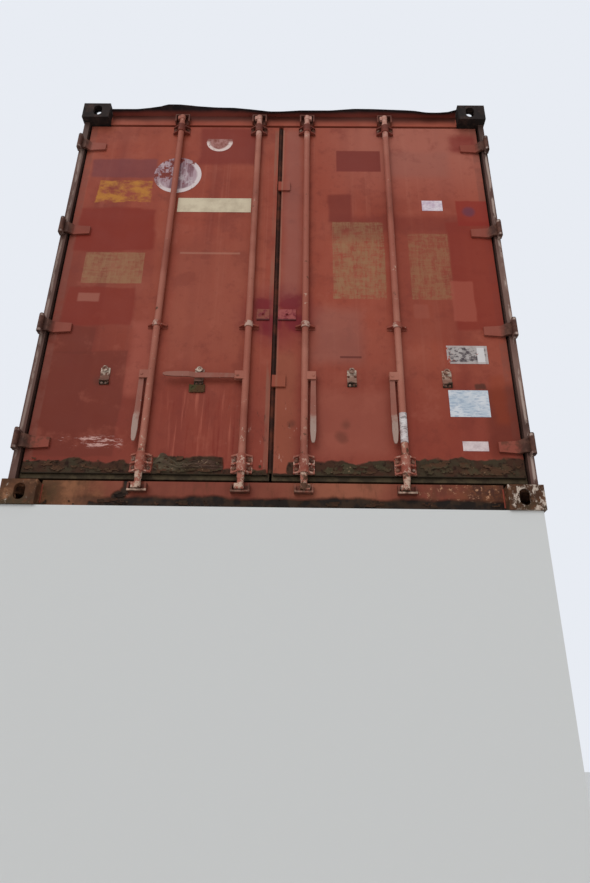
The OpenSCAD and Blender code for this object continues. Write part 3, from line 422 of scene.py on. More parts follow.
    # Sprayed colour over the seal plates
    spray = f.most(f.disc(-0.07, 1.14, 0.06, 0.05, 0.12), f.disc(0.06, 1.15, 0.075, 0.05, 0.14),
        f.disc(-0.03, 1.02, 0.08, 0.05, 0.12), f.disc(0.08, 1.03, 0.07, 0.045, 0.1),
        f.times(f.disc(0.0, 1.08, 0.18, 0.08, 0.1), 0.6))
    lay(spray, (114, 26, 38), 0.85)
    # Runs of rust and primer below the retainer of handle 2
    runs = f.noise(1.0, 5, 0.65, (42, 42, 2.2))
    streaked = f.patch(-0.53, -0.16, 0.24, 0.62, 0.05, 0.06)
    lay(f.times(streaked, f.smooth(runs, 0.46, 0.3)), (122, 40, 30), 0.7)
    lay(f.times(streaked, f.smooth(runs, 0.52, 0.7)), (184, 100, 80), 0.6)
    stains = f.blots(0.58, 0.68, 1.0, 5, 0.72, (34, 34, 11, (1, 6, 2)))
    lay(f.times(f.patch(-0.2, 0.13, 0.18, 0.62, 0.06, 0.05), stains), (84, 48, 38), 0.7)
    pale_stains = f.blots(0.62, 0.7, 1.0, 5, 0.72, (40, 40, 16, (8, 1, 6)))
    lay(f.times(f.patch(-0.21, 0.2, 0.2, 0.55, 0.05, 0.05), pale_stains), (196, 150, 134), 0.6)
    # Eaten band along the bottom, high between the bars and low beside the centre gap
    band = f.most(f.patch(-1.2, 1.2, 0.0, 0.186, 0.003, 0.03, 16),
        f.patch(0.075, 0.6, 0.0, 0.245, 0.006, 0.1, 8), f.patch(0.65, 1.2, 0.0, 0.265, 0.006, 0.12, 7),
        f.patch(-0.56, -0.235, 0.0, 0.262, 0.006, 0.04, 10),
        f.patch(-1.2, -0.64, 0.0, 0.232, 0.006, 0.1, 7),
        f.patch(-0.24, -0.03, 0.0, 0.2, 0.006, 0.05, 9),
        f.patch(-0.66, -0.55, 0.0, 0.19, 0.006, 0.04, 9))
    shade = f.mix(f.blots(0.4, 0.6, 9, 5, 0.65), (66, 44, 33), (62, 55, 41))
    shade = f.mix(f.blots(0.5, 0.66, 34, 5, 0.7), shade, (40, 28, 22))
    lay(band, shade, 0.97)
    # Painted shade: the lowest few millimetres of the doors, next to the gasket, darkened almost to black
    f.lay(f.smooth(f.z, door_bottom + 0.006, door_bottom + 0.002), (44, 36, 26))
    band_front = f.times(band, front)
    paint_relief(f, 0.0016, (f.spots, 0.0004), (f.times(band_front, f.noise(24, 6)), 0.006),
        (f.noise(1.0, 3, 0.5, (9, 9, 0.5)), 0.0011))
    return f.surface(f.plus(f.rough, f.times(band_front, 0.25)))


def frame_paint():
    """Rails and other frame members: door colour, knocked and rusty along their edges."""
    f = weathered_paint("frame_paint", (146, 68, 52), brick_dark, brick_light, 0.6, 0.4)
    chips = f.noise(12, 9, 0.74, (1, 0.6, 1, (3, 9, 4)))
    f.lay(f.smooth(chips, 0.6, 0.63), (122, 66, 42))
    f.lay(f.smooth(chips, 0.64, 0.67), rust_dark)
    paint_relief(f, 0.0012, (f.smooth(chips, 0.61, 0.67), 0.0005))
    return f.surface(f.rough)


def wall_paint():
    """Side and front walls: rust runs from the top rail, a rusty foot, scrapes and chips."""
    f = weathered_paint("wall_paint", (138, 64, 50), (122, 54, 42), (150, 76, 60), 0.45, 0.5)
    waver = f.noise(3.2, 4, 0.6)
    runs = f.blots(0.5, 0.64, 1.0, 5, 0.7, (20, 20, 0.8, (6, 1, 2)))
    runs = f.times(runs, f.smooth(f.plus(f.z, waver), 2.2, 2.95))
    f.lay(runs, (90, 46, 33), 0.7)
    foot = f.smooth(f.plus(f.noise(15, 7, 0.72), f.times(f.smooth(f.plus(f.z, f.times(waver, 0.3)),
        0.55, 0.28), 0.22)), 0.66, 0.72)
    f.lay(foot, f.mix(f.blots(0.42, 0.6, 28, 5, 0.7), rust, rust_orange))
    scrapes = f.blots(0.6, 0.65, 1.0, 5, 0.75, (2.0, 2.0, 70, (1, 4, 1)))
    scrapes = f.times(scrapes, f.blots(0.54, 0.62, 1.4, 4, 0.6, (1, 1, 1, (2, 7, 3))))
    f.lay(scrapes, (176, 118, 98), 0.75)
    chips = f.noise(19, 8, 0.74, (1, 1, 1, (8, 3, 5)))
    f.lay(f.smooth(chips, 0.655, 0.675), (128, 70, 40))
    f.lay(f.smooth(chips, 0.675, 0.7), rust_dark)
    paint_relief(f, 0.0012, (foot, 0.0005), (f.smooth(chips, 0.66, 0.7), 0.0005))
    return f.surface(f.plus(f.rough, f.times(foot, 0.2)))


def roof_paint():
    """The roof: bleached paint, flaking to rust round the pressings, with stains where water stands."""
    f = weathered_paint("roof_paint", (132, 72, 58), (116, 62, 50), (146, 88, 72), 0.6, 0.1)
    flakes = f.noise(3.4, 9, 0.72, (1, 1, 1, (5, 2, 7)))
    f.lay(f.smooth(flakes, 0.535, 0.56), (120, 74, 48), 0.85)
    bare = f.smooth(flakes, 0.575, 0.6)
    f.lay(bare, f.mix(f.blots(0.42, 0.6, 30, 5, 0.7), (86, 54, 38), (62, 44, 34)))
    stains = f.blots(0.56, 0.7, 2.2, 5, 0.6, (1, 2.4, 1, (9, 4, 1)))
    f.lay(stains, (82, 62, 50), 0.4)
    paint_relief(f, 0.0012, (bare, -0.0005))
    return f.surface(f.plus(f.rough, f.times(bare, 0.2)))


def layered_rust(f, base, dark, light):
    """Rust in three tones, one over another."""
    f.color = f.mix(f.blots(0.35, 0.65, 6, 6, 0.65), base, dark)
    f.lay(f.blots(0.5, 0.72, 17, 6, 0.7, (1, 1, 1, (4, 1, 2))), light)


def pitted_surface(f, roughness, grain=0.0002, *more):
    """Rust pits and a fine grain over bare steel."""
    f.relief((f.noise(45, 5, 0.7), 0.0009), (f.noise(240, 2), grain), *more)
    return f.surface(f.plus(f.times(f.noise(22, 3), 0.2), roughness))


def rusty_steel(name, base, dark, light, roughness=0.68):
    """Bare or nearly bare steel."""
    f = Finish(name)
    layered_rust(f, base, dark, light)
    f.lay(f.blots(0.5, 0.7, 90, 3, 0.7), dark, 0.4)
    return pitted_surface(f, roughness, 0.00018)


def gutter_paint():
    """The gutter: rusty steel darkened to near black as painted shade along its lip and under it, giving
    way to the header's red at the back.
    """
    f = Finish("gutter_steel")
    # Painted shade under the overhang: near-black rust tones, with the header's red let back in towards
    # the back
    layered_rust(f, (42, 34, 34), (28, 24, 25), (62, 46, 42))
    back = f.smooth(f.waver(f.y, 0.016, 9, 5, 0.65), header_low.y - 0.036, header_low.y - 0.010)
    f.lay(back, (124, 58, 47), 0.95)
    return pitted_surface(f, 0.68)


def fitting_steel():
    """Lower corner fittings: orange and brown rust, pale scrapes, green dirt near the lower edges."""
    f = Finish("fitting_rust")
    layered_rust(f, (120, 78, 54), (74, 50, 36), (158, 112, 82))
    f.lay(f.times(f.smooth(f.z, 0.07, 0.01), f.blots(0.42, 0.58, 14, 5, 0.7)), (62, 56, 40), 0.7)
    door_end = f.times(f.smooth(f.x, 0, 1), f.smooth(f.y, end_y + 0.03, end_y + 0.01))
    scratched = f.noise(1.0, 6, 0.78, (30, 30, 18, (2, 9, 5)))
    scrapes = f.smooth(f.plus(scratched, f.times(door_end, 0.10)), 0.61, 0.67)
    f.lay(scrapes, (206, 188, 172), 0.85)
    return pitted_surface(f, 0.68, 0.0002, (scrapes, -0.0003))


def worn_surface(f, bumps, *more):
    """Lumpy old paint on cast or flame-cut pieces."""
    f.relief((f.noise(60, 4), bumps), *more)
    return f.surface(f.rough)


def gear_paint():
    """Lock gear: faded paint, worn to rust and bare metal towards the lower ends, with a painted
    highlight at the tops of bars 2, 3 and 4.
    """
    f = weathered_paint("gear_paint", (158, 90, 74), (126, 66, 53), (176, 116, 98), 0.8, 0.25, 0.55)
    # Painted highlight: pale blotches at the tops of bars 2, 3 and 4
    top_highlight = f.times(f.smooth(f.z, 2.3, 2.4), f.smooth(f.x, -0.5, -0.2))
    top_highlight = f.times(top_highlight, f.blots(0.36, 0.56, 24, 4, 0.65))
    f.lay(top_highlight, (204, 158, 142), 0.8)
    low_wear = f.smooth(f.z, 0.5, 0.12)
    worn = f.smooth(f.plus(f.noise(30, 6, 0.7), f.times(low_wear, 0.16)), 0.63, 0.69)
    f.lay(worn, (196, 164, 144))
    crust = f.smooth(f.plus(f.noise(17, 6, 0.7), f.times(low_wear, 0.13)), 0.62, 0.7)
    f.lay(crust, (86, 58, 42))
    return worn_surface(f, 0.0005, (f.noise(9, 2), 0.0008), (worn, -0.0003), (f.spots, 0.0004))


def bracket_paint():
    """Bar brackets: the door's colour, with painted shade in the corners above, a painted highlight on
    the middle sleeves, and bright chips below.
    """
    f = weathered_paint("bracket_paint", (140, 66, 52), (108, 50, 40), (154, 84, 68), 0.6, 0.25)
    # Painted shade: darker in the corners at the top, under the header
    high_shade = f.smooth(f.waver(f.z, 0.04, 30, 4), 2.36, 2.42)
    f.lay(high_shade, (62, 34, 28), 0.55)
    low_wear = f.smooth(f.z, 0.5, 0.16)
    chips = f.smooth(f.plus(f.noise(46, 6, 0.75), f.times(low_wear, 0.1)), 0.61, 0.67)
    f.lay(chips, (200, 162, 144))
    # Painted highlight: pale blotches on the front of the middle sleeves
    middle = f.between(f.z, 0.9, 1.3, 0.05)
    sleeve_highlight = f.times(middle, f.smooth(f.y, door_face - 0.026, door_face - 0.034),
        f.blots(0.4, 0.52, 26, 4, 0.6))
    f.lay(sleeve_highlight, (196, 164, 148), 0.85)
    outside = f.smooth(f.y, door_face - 0.006, door_face - 0.001)
    f.lay(f.times(outside, 0.35, f.smooth(f.z, 0.4, 0.8)), (84, 44, 34))
    rubbed = f.times(low_wear, f.blots(0.4, 0.62, 18, 4, 0.6))
    f.lay(rubbed, (186, 128, 110), 0.45)
    return worn_surface(f, 0.0006, (chips, -0.0003), (f.spots, 0.0004))


def keeper_paint():
    """Keepers: painted shade under the header, rusty on the sill, with one bright rubbed lip."""
    f = weathered_paint("keeper_paint", (112, 58, 46), (74, 44, 36), (140, 84, 68), 0.9, 0.3)
    # Painted shade: darker at the top, under the header
    darker_above = f.smooth(f.z, 2.47, 2.52)
    f.lay(darker_above, (52, 32, 28), 0.5)
    foot = f.times(f.smooth(f.z, 0.0905, 0.0885), f.smooth(f.y, end_y + 0.036, end_y + 0.031))
    foot = f.times(foot, f.blots(0.36, 0.5, 30, 5, 0.7))
    foot = f.times(foot, f.plus(f.times(f.smooth(f.math("ABSOLUTE", f.x), 0.3, 0.5), 0.75), 0.25))
    f.lay(foot, (190, 160, 140))
    low = f.times(f.smooth(f.z, 0.2, 0.13), f.blots(0.42, 0.6, 24, 5, 0.7))
    f.lay(low, (70, 50, 38), 0.7)
    return worn_surface(f, 0.0006, (f.spots, 0.0005))


def grip_paint():
    """Handles: red shanks, and grips rubbed down to grey primer."""
    f = weathered_paint("grip_paint", (142, 80, 66), (110, 62, 50), (158, 104, 90), 0.8, 0.2, 0.5)
    rubbed = f.smooth(f.plus(f.noise(26, 5, 0.7, (1, 1, 0.5)),
        f.times(f.smooth(f.y, door_face - 0.028, door_face - 0.034), 0.22)), 0.52, 0.66)
    f.lay(rubbed, (144, 96, 82), 0.6)
    bare = f.times(f.smooth(f.waver(f.z, 0.2, 24, 5, 0.7), 0.5, 0.42),
        f.plus(f.times(rubbed, 0.6), 0.4))
    f.lay(bare, (168, 142, 130), 0.9)
    chips = f.blots(0.655, 0.7, 60, 5, 0.75)
    f.lay(chips, (206, 190, 180))
    return worn_surface(f, 0.0005, (rubbed, -0.0002))


def blade_paint():
    """Hinge blades: door colour at the tip, dirt and rust where they pass over the post."""
    f = weathered_paint("blade_paint", (140, 70, 56), (112, 54, 44), (156, 90, 76), 0.7, 0.25)
    low_rust = f.times(f.smooth(f.z, 0.6, 0.4), f.blots(0.44, 0.6, 22, 6, 0.7))
    f.lay(low_rust, (92, 56, 42), 0.7)
    across = f.waver(f.math("ABSOLUTE", f.x), 0.03, 18, 4)
    dirt = f.smooth(across, half_width - 0.085, half_width - 0.05)
    f.lay(dirt, f.mix(f.blots(0.4, 0.6, 30, 5), (64, 46, 39), (92, 66, 55)), 0.9)
    return worn_surface(f, 0.0005, (f.spots, 0.0004))


def retainer_paint():
    """Handle retainers: bright above, rubbed paint with a painted highlight; dark below, rust with
    painted shade.
    """
    f = weathered_paint("retainer_paint", (122, 82, 68), (84, 56, 46), (160, 124, 108), 0.9, 0.2)
    # Bright top: rubbed paint and a painted highlight
    bright = f.times(f.blots(0.44, 0.6, 44, 5, 0.7), f.smooth(f.z, 0.68, 0.72))
    f.lay(bright, (204, 184, 166))
    # Dark lower part: rust and painted shade
    dark = f.smooth(f.waver(f.z, 0.05, 30, 4), 0.672, 0.656)
    f.lay(dark, (58, 46, 36))
    return worn_surface(f, 0.0005, (bright, -0.0003))


def sill_paint():
    """The sill: red paint between rusted ends, torn and dark along its lower edge and where rammed."""
    f = weathered_paint("sill_paint", (128, 64, 50), (98, 48, 36), (150, 88, 66), 0.9, 0.35)
    front = f.smooth(f.y, sill_low.y + 0.004, sill_low.y + 0.002)
    across = f.waver(f.x, 0.4, 5, 4)
    ends = f.most(f.smooth(across, -0.66, -0.9), f.smooth(across, 0.72, 0.95))
    soil = f.mix(f.blots(0.4, 0.62, 12, 5, 0.7), (104, 68, 44), (140, 92, 62))
    soil = f.mix(f.smooth(f.x, 0.4, 0.7), soil, f.mix(f.blots(0.42, 0.58, 16, 6, 0.72), (70, 44, 34),
        (112, 68, 44)))
    f.lay(ends, soil, 0.9)
    corner = f.times(f.smooth(f.x, -0.95, -1.02), f.blots(0.36, 0.56, 14, 5, 0.7))
    f.lay(corner, (68, 54, 32), 0.7)
    chips = f.times(f.blots(0.56, 0.62, 30, 5, 0.75), f.smooth(f.x, 0.6, 0.75))
    f.lay(chips, (186, 136, 104))
    under = f.smooth(f.waver(f.z, 0.06, 6, 5), 0.07, 0.048)
    under = f.times(under, f.smooth(across, -0.92, -0.7))
    stained = f.blots(0.52, 0.66, 1.0, 5, 0.7, (9, 9, 3, (2, 2, 2)))
    f.lay(stained, (92, 56, 38), 0.5)
    dent = f.most(f.disc(-0.7, 0.05, 0.036, 0.008, 0.03), f.disc(-0.672, 0.088, 0.022, 0.008, 0.02),
        f.patch(-0.685, -0.662, 0.09, 0.145, 0.006, 0.02),
        f.patch(-0.84, -0.6, 0.0, 0.032, 0.008, 0.04, 12))
    dark = f.times(f.most(under, dent), front)
    f.lay(dark, f.mix(f.blots(0.4, 0.6, 20, 4), (30, 22, 18), (54, 38, 27)))
    f.relief((f.noise(5, 3), 0.006), (f.noise(60, 4), 0.0006), (dark, -0.004))
    return f.surface(f.rough)


def header_paint():
    """The header: door colour below, painted shade under the gutter."""
    f = weathered_paint("header_paint", brick, brick_dark, brick_light, 0.4, 0.4)
    # Painted shade: darker towards the top, under the gutter
    darker_above = f.smooth(f.waver(f.z, 0.03, 7, 4), header_high.z - 0.085, header_high.z - 0.03)
    f.lay(darker_above, (58, 32, 28), 0.8)
    return finish_paint(f, 0.003)


def post_paint():
    """Door posts: grey-brown paint, pale where it has been rubbed, with rust through it, darker towards
    the top, with a painted highlight along the outer edge and painted shade on the inner part of the
    face.
    """
    f = weathered_paint("post_paint", (94, 66, 58), (58, 42, 36), (126, 98, 88), 0.8, 0.5)
    rub = f.times(f.blots(0.5, 0.7, 1.0, 5, 0.65, (14, 14, 2.2)), 0.5)
    f.lay(rub, (132, 102, 92))
    # Darker towards the top
    darker_above = f.smooth(f.z, 1.9, 2.45)
    f.lay(darker_above, (48, 38, 35), 0.6)
    # Painted highlight along the outer front edge, stronger on the right post
    wander = f.times(f.plus(f.noise(1.0, 4, 0.6, (3, 3, 1.4)), -0.5), 0.03)
    across = f.plus(f.math("ABSOLUTE", f.x), wander)
    edge_highlight = f.between(across, half_width - 0.024, half_width - 0.012, 0.004)
    edge_highlight = f.times(edge_highlight, f.blots(0.44, 0.54, 1.0, 6, 0.74, (26, 26, 6, (3, 3, 3))))
    edge_highlight = f.times(edge_highlight, f.times(f.smooth(f.z, 2.42, 2.2), f.smooth(f.y, -2.9, -3.0)))
    edge_highlight = f.times(edge_highlight, f.plus(f.times(f.smooth(f.x, -0.2, 0.2), 0.4), 0.45))
    f.lay(edge_highlight, (188, 166, 154))
    # Painted shade: the inner part of the face, in the recess by the door
    inside = f.times(f.smooth(f.math("ABSOLUTE", f.x), half_width - 0.0375, half_width - 0.0385),
        f.smooth(f.y, 0, -1))
    f.lay(inside, (30, 20, 17), 0.85)
    return finish_paint(f, 0.0016)


def seal_plate_paint():
    """Seal plates: sprayed over, more on the right one, with a dark lower edge."""
    f = Finish("seal_plate_paint")
    f.color = f.mix(f.smooth(f.x, -0.02, 0.0), (138, 76, 62), (158, 80, 76))
    f.lay(f.blots(0.46, 0.62, 34, 5, 0.7), (122, 44, 50))
    edge = f.smooth(f.waver(f.z, 0.01, 40, 3), seal_plate_foot + 0.01, seal_plate_foot + 0.005)
    f.lay(edge, (66, 24, 24), 0.85)
    f.relief((f.noise(60, 4), 0.0005))
    return f.surface(0.55)


def rubber():
    """Gaskets: rubber under several coats of door paint."""
    f = Finish("gasket_rubber")
    dust = f.blots(0.4, 0.7, 14, 5, 0.6)
    f.color = f.mix(dust, (52, 32, 26), (92, 48, 34))
    # Painted shade: near black on the hinge side, in the recess by the posts
    hinge_side = f.smooth(f.math("ABSOLUTE", f.x), half_width - 0.056, half_width - 0.051)
    f.lay(hinge_side, (28, 20, 17))
    low = f.smooth(f.z, 0.22, 0.16)
    f.lay(low, f.mix(f.blots(0.4, 0.6, 20, 4), (62, 52, 40), (82, 70, 52)))
    f.relief((f.noise(180, 3), 0.0003), (f.noise(6, 2), 0.001))
    return f.surface(0.8)


def plywood():
    """Floor boards: long grain, wheel marks and dirt."""
    f = Finish("floor_plywood")
    grain = f.noise(1.0, 6, 0.65, (60, 1.6, 60), 0.4)
    f.color = f.mix(f.smooth(grain, 0.35, 0.7), (128, 92, 58), (88, 60, 38))
    marks = f.noise(1.0, 5, 0.6, (9, 0.5, 9))
    f.lay(f.smooth(marks, 0.5, 0.72), (52, 42, 34), 0.6)
    f.relief((grain, 0.0006), (f.noise(3, 3), 0.001))
    return f.surface(f.plus(f.times(marks, 0.3), 0.5))


finishes = {
    "door_red": door_paint(),
    "gear_paint": gear_paint(),
    "frame_red": frame_paint(),
    "wall_red": wall_paint(),
    "roof_red": roof_paint(),
    "post_paint": post_paint(),
    "fitting_rust": fitting_steel(),
    "fitting_dark": rusty_steel("fitting_dark", (50, 40, 37), (32, 27, 26), (78, 58, 50)),
    "gutter_dark": gutter_paint(),
    "pin_steel": rusty_steel("pin_steel", (80, 56, 46), (50, 37, 33), (110, 82, 68), 0.55),
    "under_steel": plain_paint("underseal", (58, 50, 46), (36, 31, 29), (88, 72, 62),
        rust_amount=1.0),
    "seal_rubber": rubber(),
    "floor_ply": plywood(),
}
own_finishes = {}
for material, *names in (
        (sill_paint(), "door_sill"),
        (header_paint(), "door_header"),
        (blade_paint(), "left_hinge_blades", "right_hinge_blades"),
        (retainer_paint(), "left_handle_retainers", "right_handle_retainers"),
        (grip_paint(), "handle_1", "handle_2", "handle_3", "handle_4"),
        (plain_paint("front_post_paint", (126, 62, 50), (88, 48, 40), (146, 88, 74), rust_amount=1.0,
            streaks=0.7), "left_front_post", "right_front_post"),
        (keeper_paint(), "top_keepers", "bottom_keepers"),
        (bracket_paint(), "left_bar_brackets", "right_bar_brackets"),
        (seal_plate_paint(), "left_seal_plate", "right_seal_plate")):
    for name in names:
        own_finishes[name] = material

slot_of = {row["node"]: row["material_slot"] for row in frame["record"]["subparts"]}
for name, piece in nodes.items():
    piece.data.materials.clear()
    piece.data.materials.append(own_finishes.get(name) or finishes[slot_of[name]])


# Bare labels and plates on the doors

def film_surface(f, roughness=0.5):
    f.relief((f.noise(40, 3), 0.0004))
    return f.surface(roughness)


def label_finish(name, base, shade, smudge=None, rows=0.0, wear=0.55, scale=22):
    """Old film: faded, dirty, and worn through to the door's paint at its edges."""
    f = Finish(name)
    f.color = f.mix(f.blots(0.38, 0.66, scale, 5, 0.65), base, shade)
    if smudge:
        lines = f.blots(0.5, 0.62, 1.0, 3, 0.6, (28, 28, 120))
        f.lay(lines, smudge, rows)
    through = f.blots(wear + 0.14, wear + 0.18, scale * 2.1, 6, 0.75, (1, 1, 1, (5, 5, 5)))
    f.lay(through, brick)
    return film_surface(f)


def round_film(x, z):
    """The round film: a pale ring, worn away at the upper left, round a stained field."""
    f = Finish("worn_round_film")
    stains = f.noise(1.0, 5, 0.7, (46, 46, 6))
    field = f.mix(f.smooth(stains, 0.4, 0.62), (178, 150, 156), (128, 88, 96))
    field = f.mix(f.blots(0.5, 0.7, 15, 5, 0.7), field, (198, 182, 184))
    ring = f.times(f.disc(x, z, 0.145), f.plus(1.0, f.times(f.disc(x, z, 0.113, 0.006, 0.02), -1.0)))
    lower_right = f.smooth(f.plus(f.x, f.times(f.z, -1.0)), x - z - 0.1, x - z + 0.06)
    f.color = f.mix(f.times(ring, lower_right), field, (218, 202, 200))
    lost = f.smooth(f.plus(f.noise(22, 6, 0.75), f.times(f.plus(1.0, f.times(lower_right, -1.0)),
        0.09)), 0.6, 0.64)
    f.lay(lost, brick_deep)
    return film_surface(f)


def half_film(x, z):
    """The half round label: a pale worn rim round a field that has faded to pink."""
    f = Finish("pink_white_film")
    field = f.mix(f.blots(0.4, 0.62, 30, 5, 0.7), (168, 116, 108), (134, 76, 66))
    rim = f.plus(f.disc(x, z, 0.085), f.times(f.disc(x, z, 0.056, 0.006, 0.03), -1.0))
    rim = f.times(rim, f.smooth(f.z, z + 0.012, z - 0.012))
    f.color = f.mix(rim, field, (222, 198, 190))
    lost = f.blots(0.6, 0.64, 60, 6, 0.75)
    f.lay(lost, brick_deep)
    return film_surface(f)


def silver_film():
    """The silver label: stained foil with one clean white field at its right end."""
    f = Finish("silver_film")
    foil = f.mix(f.blots(0.44, 0.6, 1.0, 5, 0.7, (40, 40, 60)), (178, 168, 164), (84, 74, 76))
    clean = f.between(f.x, 1.012, 1.05, 0.002)
    f.color = f.mix(clean, foil, (214, 208, 206))
    rim = f.plus(1.0, f.times(f.patch(0.87, 1.055, 0.797, 0.882, 0.002), -1.0))
    f.lay(rim, (182, 168, 164), 0.8)
    lost = f.smooth(f.plus(f.noise(40, 6, 0.75), f.times(f.smooth(f.x, 0.91, 0.86), 0.12)), 0.62, 0.66)
    f.lay(lost, brick)
    return film_surface(f, 0.45)


def round_outline(x, z, radius):
    mesh = bmesh.new()
    bmesh.ops.create_circle(mesh, cap_ends=True, radius=radius, segments=56)
    place = Matrix.Translation(on_door(x, film_depth, z))
    bmesh.ops.transform(mesh, matrix=place @ upright, verts=mesh.verts)
    return mesh


def wide_outline(x0, x1, z0, z1):
    mesh = bmesh.new()
    door_grid(mesh, (x0 + x1) / 2, (z0 + z1) / 2, x1 - x0, z1 - z0, film_depth, 24, 12)
    return mesh


def film(name, body, mesh, material, thickness=0.0007, lift=0.0, seed=1):
    """Gives a flat outline its thickness, and lifts it off the door here and there."""
    outer = thicken(mesh, -thickness)
    if lift:
        for vertex in outer:
            vertex.co.y -= max(0.0, fractal(vertex.co.x * 14, vertex.co.z * 14, seed)) * lift
    return finished_piece(name, mesh, body, material, smooth=False)


film("cream_strip_plate", "left_door", wide_outline(-0.589, -0.17, 1.777, 1.882),
    label_finish("cream_film", (212, 196, 168), (190, 172, 146), None, 0, 0.68, 9), 0.0012, 0.0008, 2)
half_label = round_outline(-0.380, 2.336, 0.078)
bmesh.ops.bisect_plane(half_label, geom=half_label.verts[:] + half_label.edges[:] + half_label.faces[:],
    plane_co=(0, 0, 2.361), plane_no=(0, 0, 1), clear_outer=True)
film("half_round_label", "left_door", half_label, half_film(-0.380, 2.336))
film("round_label", "left_door", round_outline(-0.610, 2.062, 0.139), round_film(-0.610, 2.062))
film("small_white_label", "right_door", wide_outline(0.802, 0.918, 1.799, 1.875),
    label_finish("white_film", (226, 212, 216), (196, 170, 186), (150, 130, 160), 0.35, 0.62))
film("silver_label", "right_door", wide_outline(0.86, 1.065, 0.786, 0.893), silver_film(), 0.0009)
film("notice_sheet", "right_door", wide_outline(0.849, 1.043, 0.487, 0.634),
    label_finish("pale_blue_film", (214, 216, 220), (186, 196, 206), (124, 146, 172), 0.5, 0.60, 16),
    0.0007, 0.0012, 5)
film("lower_white_label", "right_door", wide_outline(0.893, 1.014, 0.307, 0.357),
    label_finish("lower_white_film", (222, 204, 202), (196, 176, 176), None, 0, 0.64))


# Bolt heads and washers

def fastener(mesh, place, radius=0.0075, height=0.006, washer=0.011):
    """A hexagon head on a washer; both stand out towards the viewer of the doors."""
    turn = upright @ Matrix.Rotation(place.x * 37 + place.z * 23, 4, "Z")
    head = Matrix.Translation(place + Vector((0, -height / 2, 0)))
    bmesh.ops.create_cone(mesh, cap_ends=True, segments=18, radius1=washer, radius2=washer * 0.94,
        depth=0.002, matrix=Matrix.Translation(place) @ turn)
    bmesh.ops.create_cone(mesh, cap_ends=True, segments=6, radius1=radius, radius2=radius * 0.9,
        depth=height, matrix=head @ turn)


bolt_steel = rusty_steel("bolt_steel", (140, 98, 80), (92, 60, 48), (190, 164, 148), 0.5)
top_bracket_z = bracket_high.z - 0.027
low_bracket_z = bracket_low.z + 0.045
bolt_reach = 0.036
for side, numbers in (("left_door", (1, 2)), ("right_door", (3, 4))):
    heads = bmesh.new()
    for number in numbers:
        for x in (bar_x[number] - bolt_reach, bar_x[number] + bolt_reach):
            for dz in (-0.0125, 0.0125):
                fastener(heads, on_door(x, plate_face, top_bracket_z + dz), 0.006, 0.005, 0.009)
            for dz in (-0.021, 0.021):
                fastener(heads, on_door(x, plate_face, low_bracket_z + dz))
    for x in retainer_x[side]:
        for dx, dz in ((-0.017, 0.012), (0.017, 0.012), (-0.010, -0.037), (0.010, -0.037)):
            place = on_door(x + dx, plate_face - 0.001, handle_height + dz)
            fastener(heads, place, 0.005, 0.004, 0.0065)
    finished_piece(f"{side}_bolts", heads, side, bolt_steel, smooth=False)


# Weld beads

def weld_bead(name, runs, body, material, radius=0.004, seed=3):
    """Rippled beads along straight runs between pairs of places."""
    draw = random.Random(seed)
    curve = bpy.data.curves.new(name, "CURVE")
    curve.dimensions = "3D"
    curve.bevel_depth = radius
    curve.bevel_resolution = 1
    for start, end in runs:
        start, end = Vector(start), Vector(end)
        count = max(3, int((end - start).length / 0.007))
        spline = curve.splines.new("POLY")
        spline.points.add(count)
        for i, point in enumerate(spline.points):
            shake = Vector([draw.uniform(-1, 1) * radius * 0.15 for _ in range(3)])
            point.co = (*(start.lerp(end, i / count) + shake), 1)
            point.radius = 0.8 + 0.2 * (i % 2) + draw.uniform(-0.08, 0.08)
    holder = bpy.data.objects.new(name + "_path", curve)
    data = bpy.data.meshes.new_from_object(holder)
    bpy.data.objects.remove(holder)
    mesh = bmesh.new()
    mesh.from_mesh(data)
    bpy.data.meshes.remove(data)
    return finished_piece(name, mesh, body, material)


post_depth = 0.044
post_back = 0.178
fitting_height = 0.118
fitting_width = 0.162
post_in = half_width - 0.038
post_out = half_width - 0.006
runs = []
for side in (-1, 1):
    for z in (fitting_height + 0.002, container_top - fitting_height - 0.002):
        runs.append((on_door(side * post_in, post_depth, z), on_door(side * post_out, post_depth, z)))
        runs.append((on_door(side * post_out, post_depth, z), on_door(side * post_out, post_back, z)))
weld_bead("post_welds", runs, "root", finishes["post_paint"], 0.0045)

runs = []
for side in (-1, 1):
    x = side * (half_width - fitting_width - 0.002)
    for face, start, end in ((header_low.y, header_low.z + 0.01, header_high.z - 0.035),
            (sill_low.y, sill_low.z + 0.01, 0.115)):
        runs.append((Vector((x, face + 0.001, start)), Vector((x, face + 0.001, end))))
weld_bead("header_and_sill_welds", runs, "root", finishes["frame_red"], 0.0045, 5)

# Beads above and below each hinge blade, on the doors
lowest_hinge = 0.326
hinge_gap = 0.652
hinge_heights = [lowest_hinge + hinge_gap * number for number in range(4)]
for side, body in ((-1, "left_door"), (1, "right_door")):
    runs = []
    for z in hinge_heights:
        for rise in (-1, 1):
            runs.append((on_door(side * (half_width - 0.07), crust_depth, z + rise * 0.036),
                on_door(side * (half_width - 0.15), crust_depth, z + rise * 0.028)))
    weld_bead(f"{body}_blade_welds", runs, body, finishes["door_red"], 0.003, 7)


# Loose rust scabs along the eaten bottoms of the doors and the torn edge of the sill

def scab_finish(name, brown, green, deep):
    f = Finish(name)
    f.color = f.mix(f.blots(0.42, 0.6, 11, 5, 0.65), brown, green)
    f.lay(f.blots(0.52, 0.66, 40, 5, 0.7), deep)
    f.lay(f.blots(0.62, 0.68, 75, 4, 0.7), (150, 120, 92), 0.8)
    f.relief((f.noise(60, 5, 0.7), 0.0012))
    return f.surface(0.9)


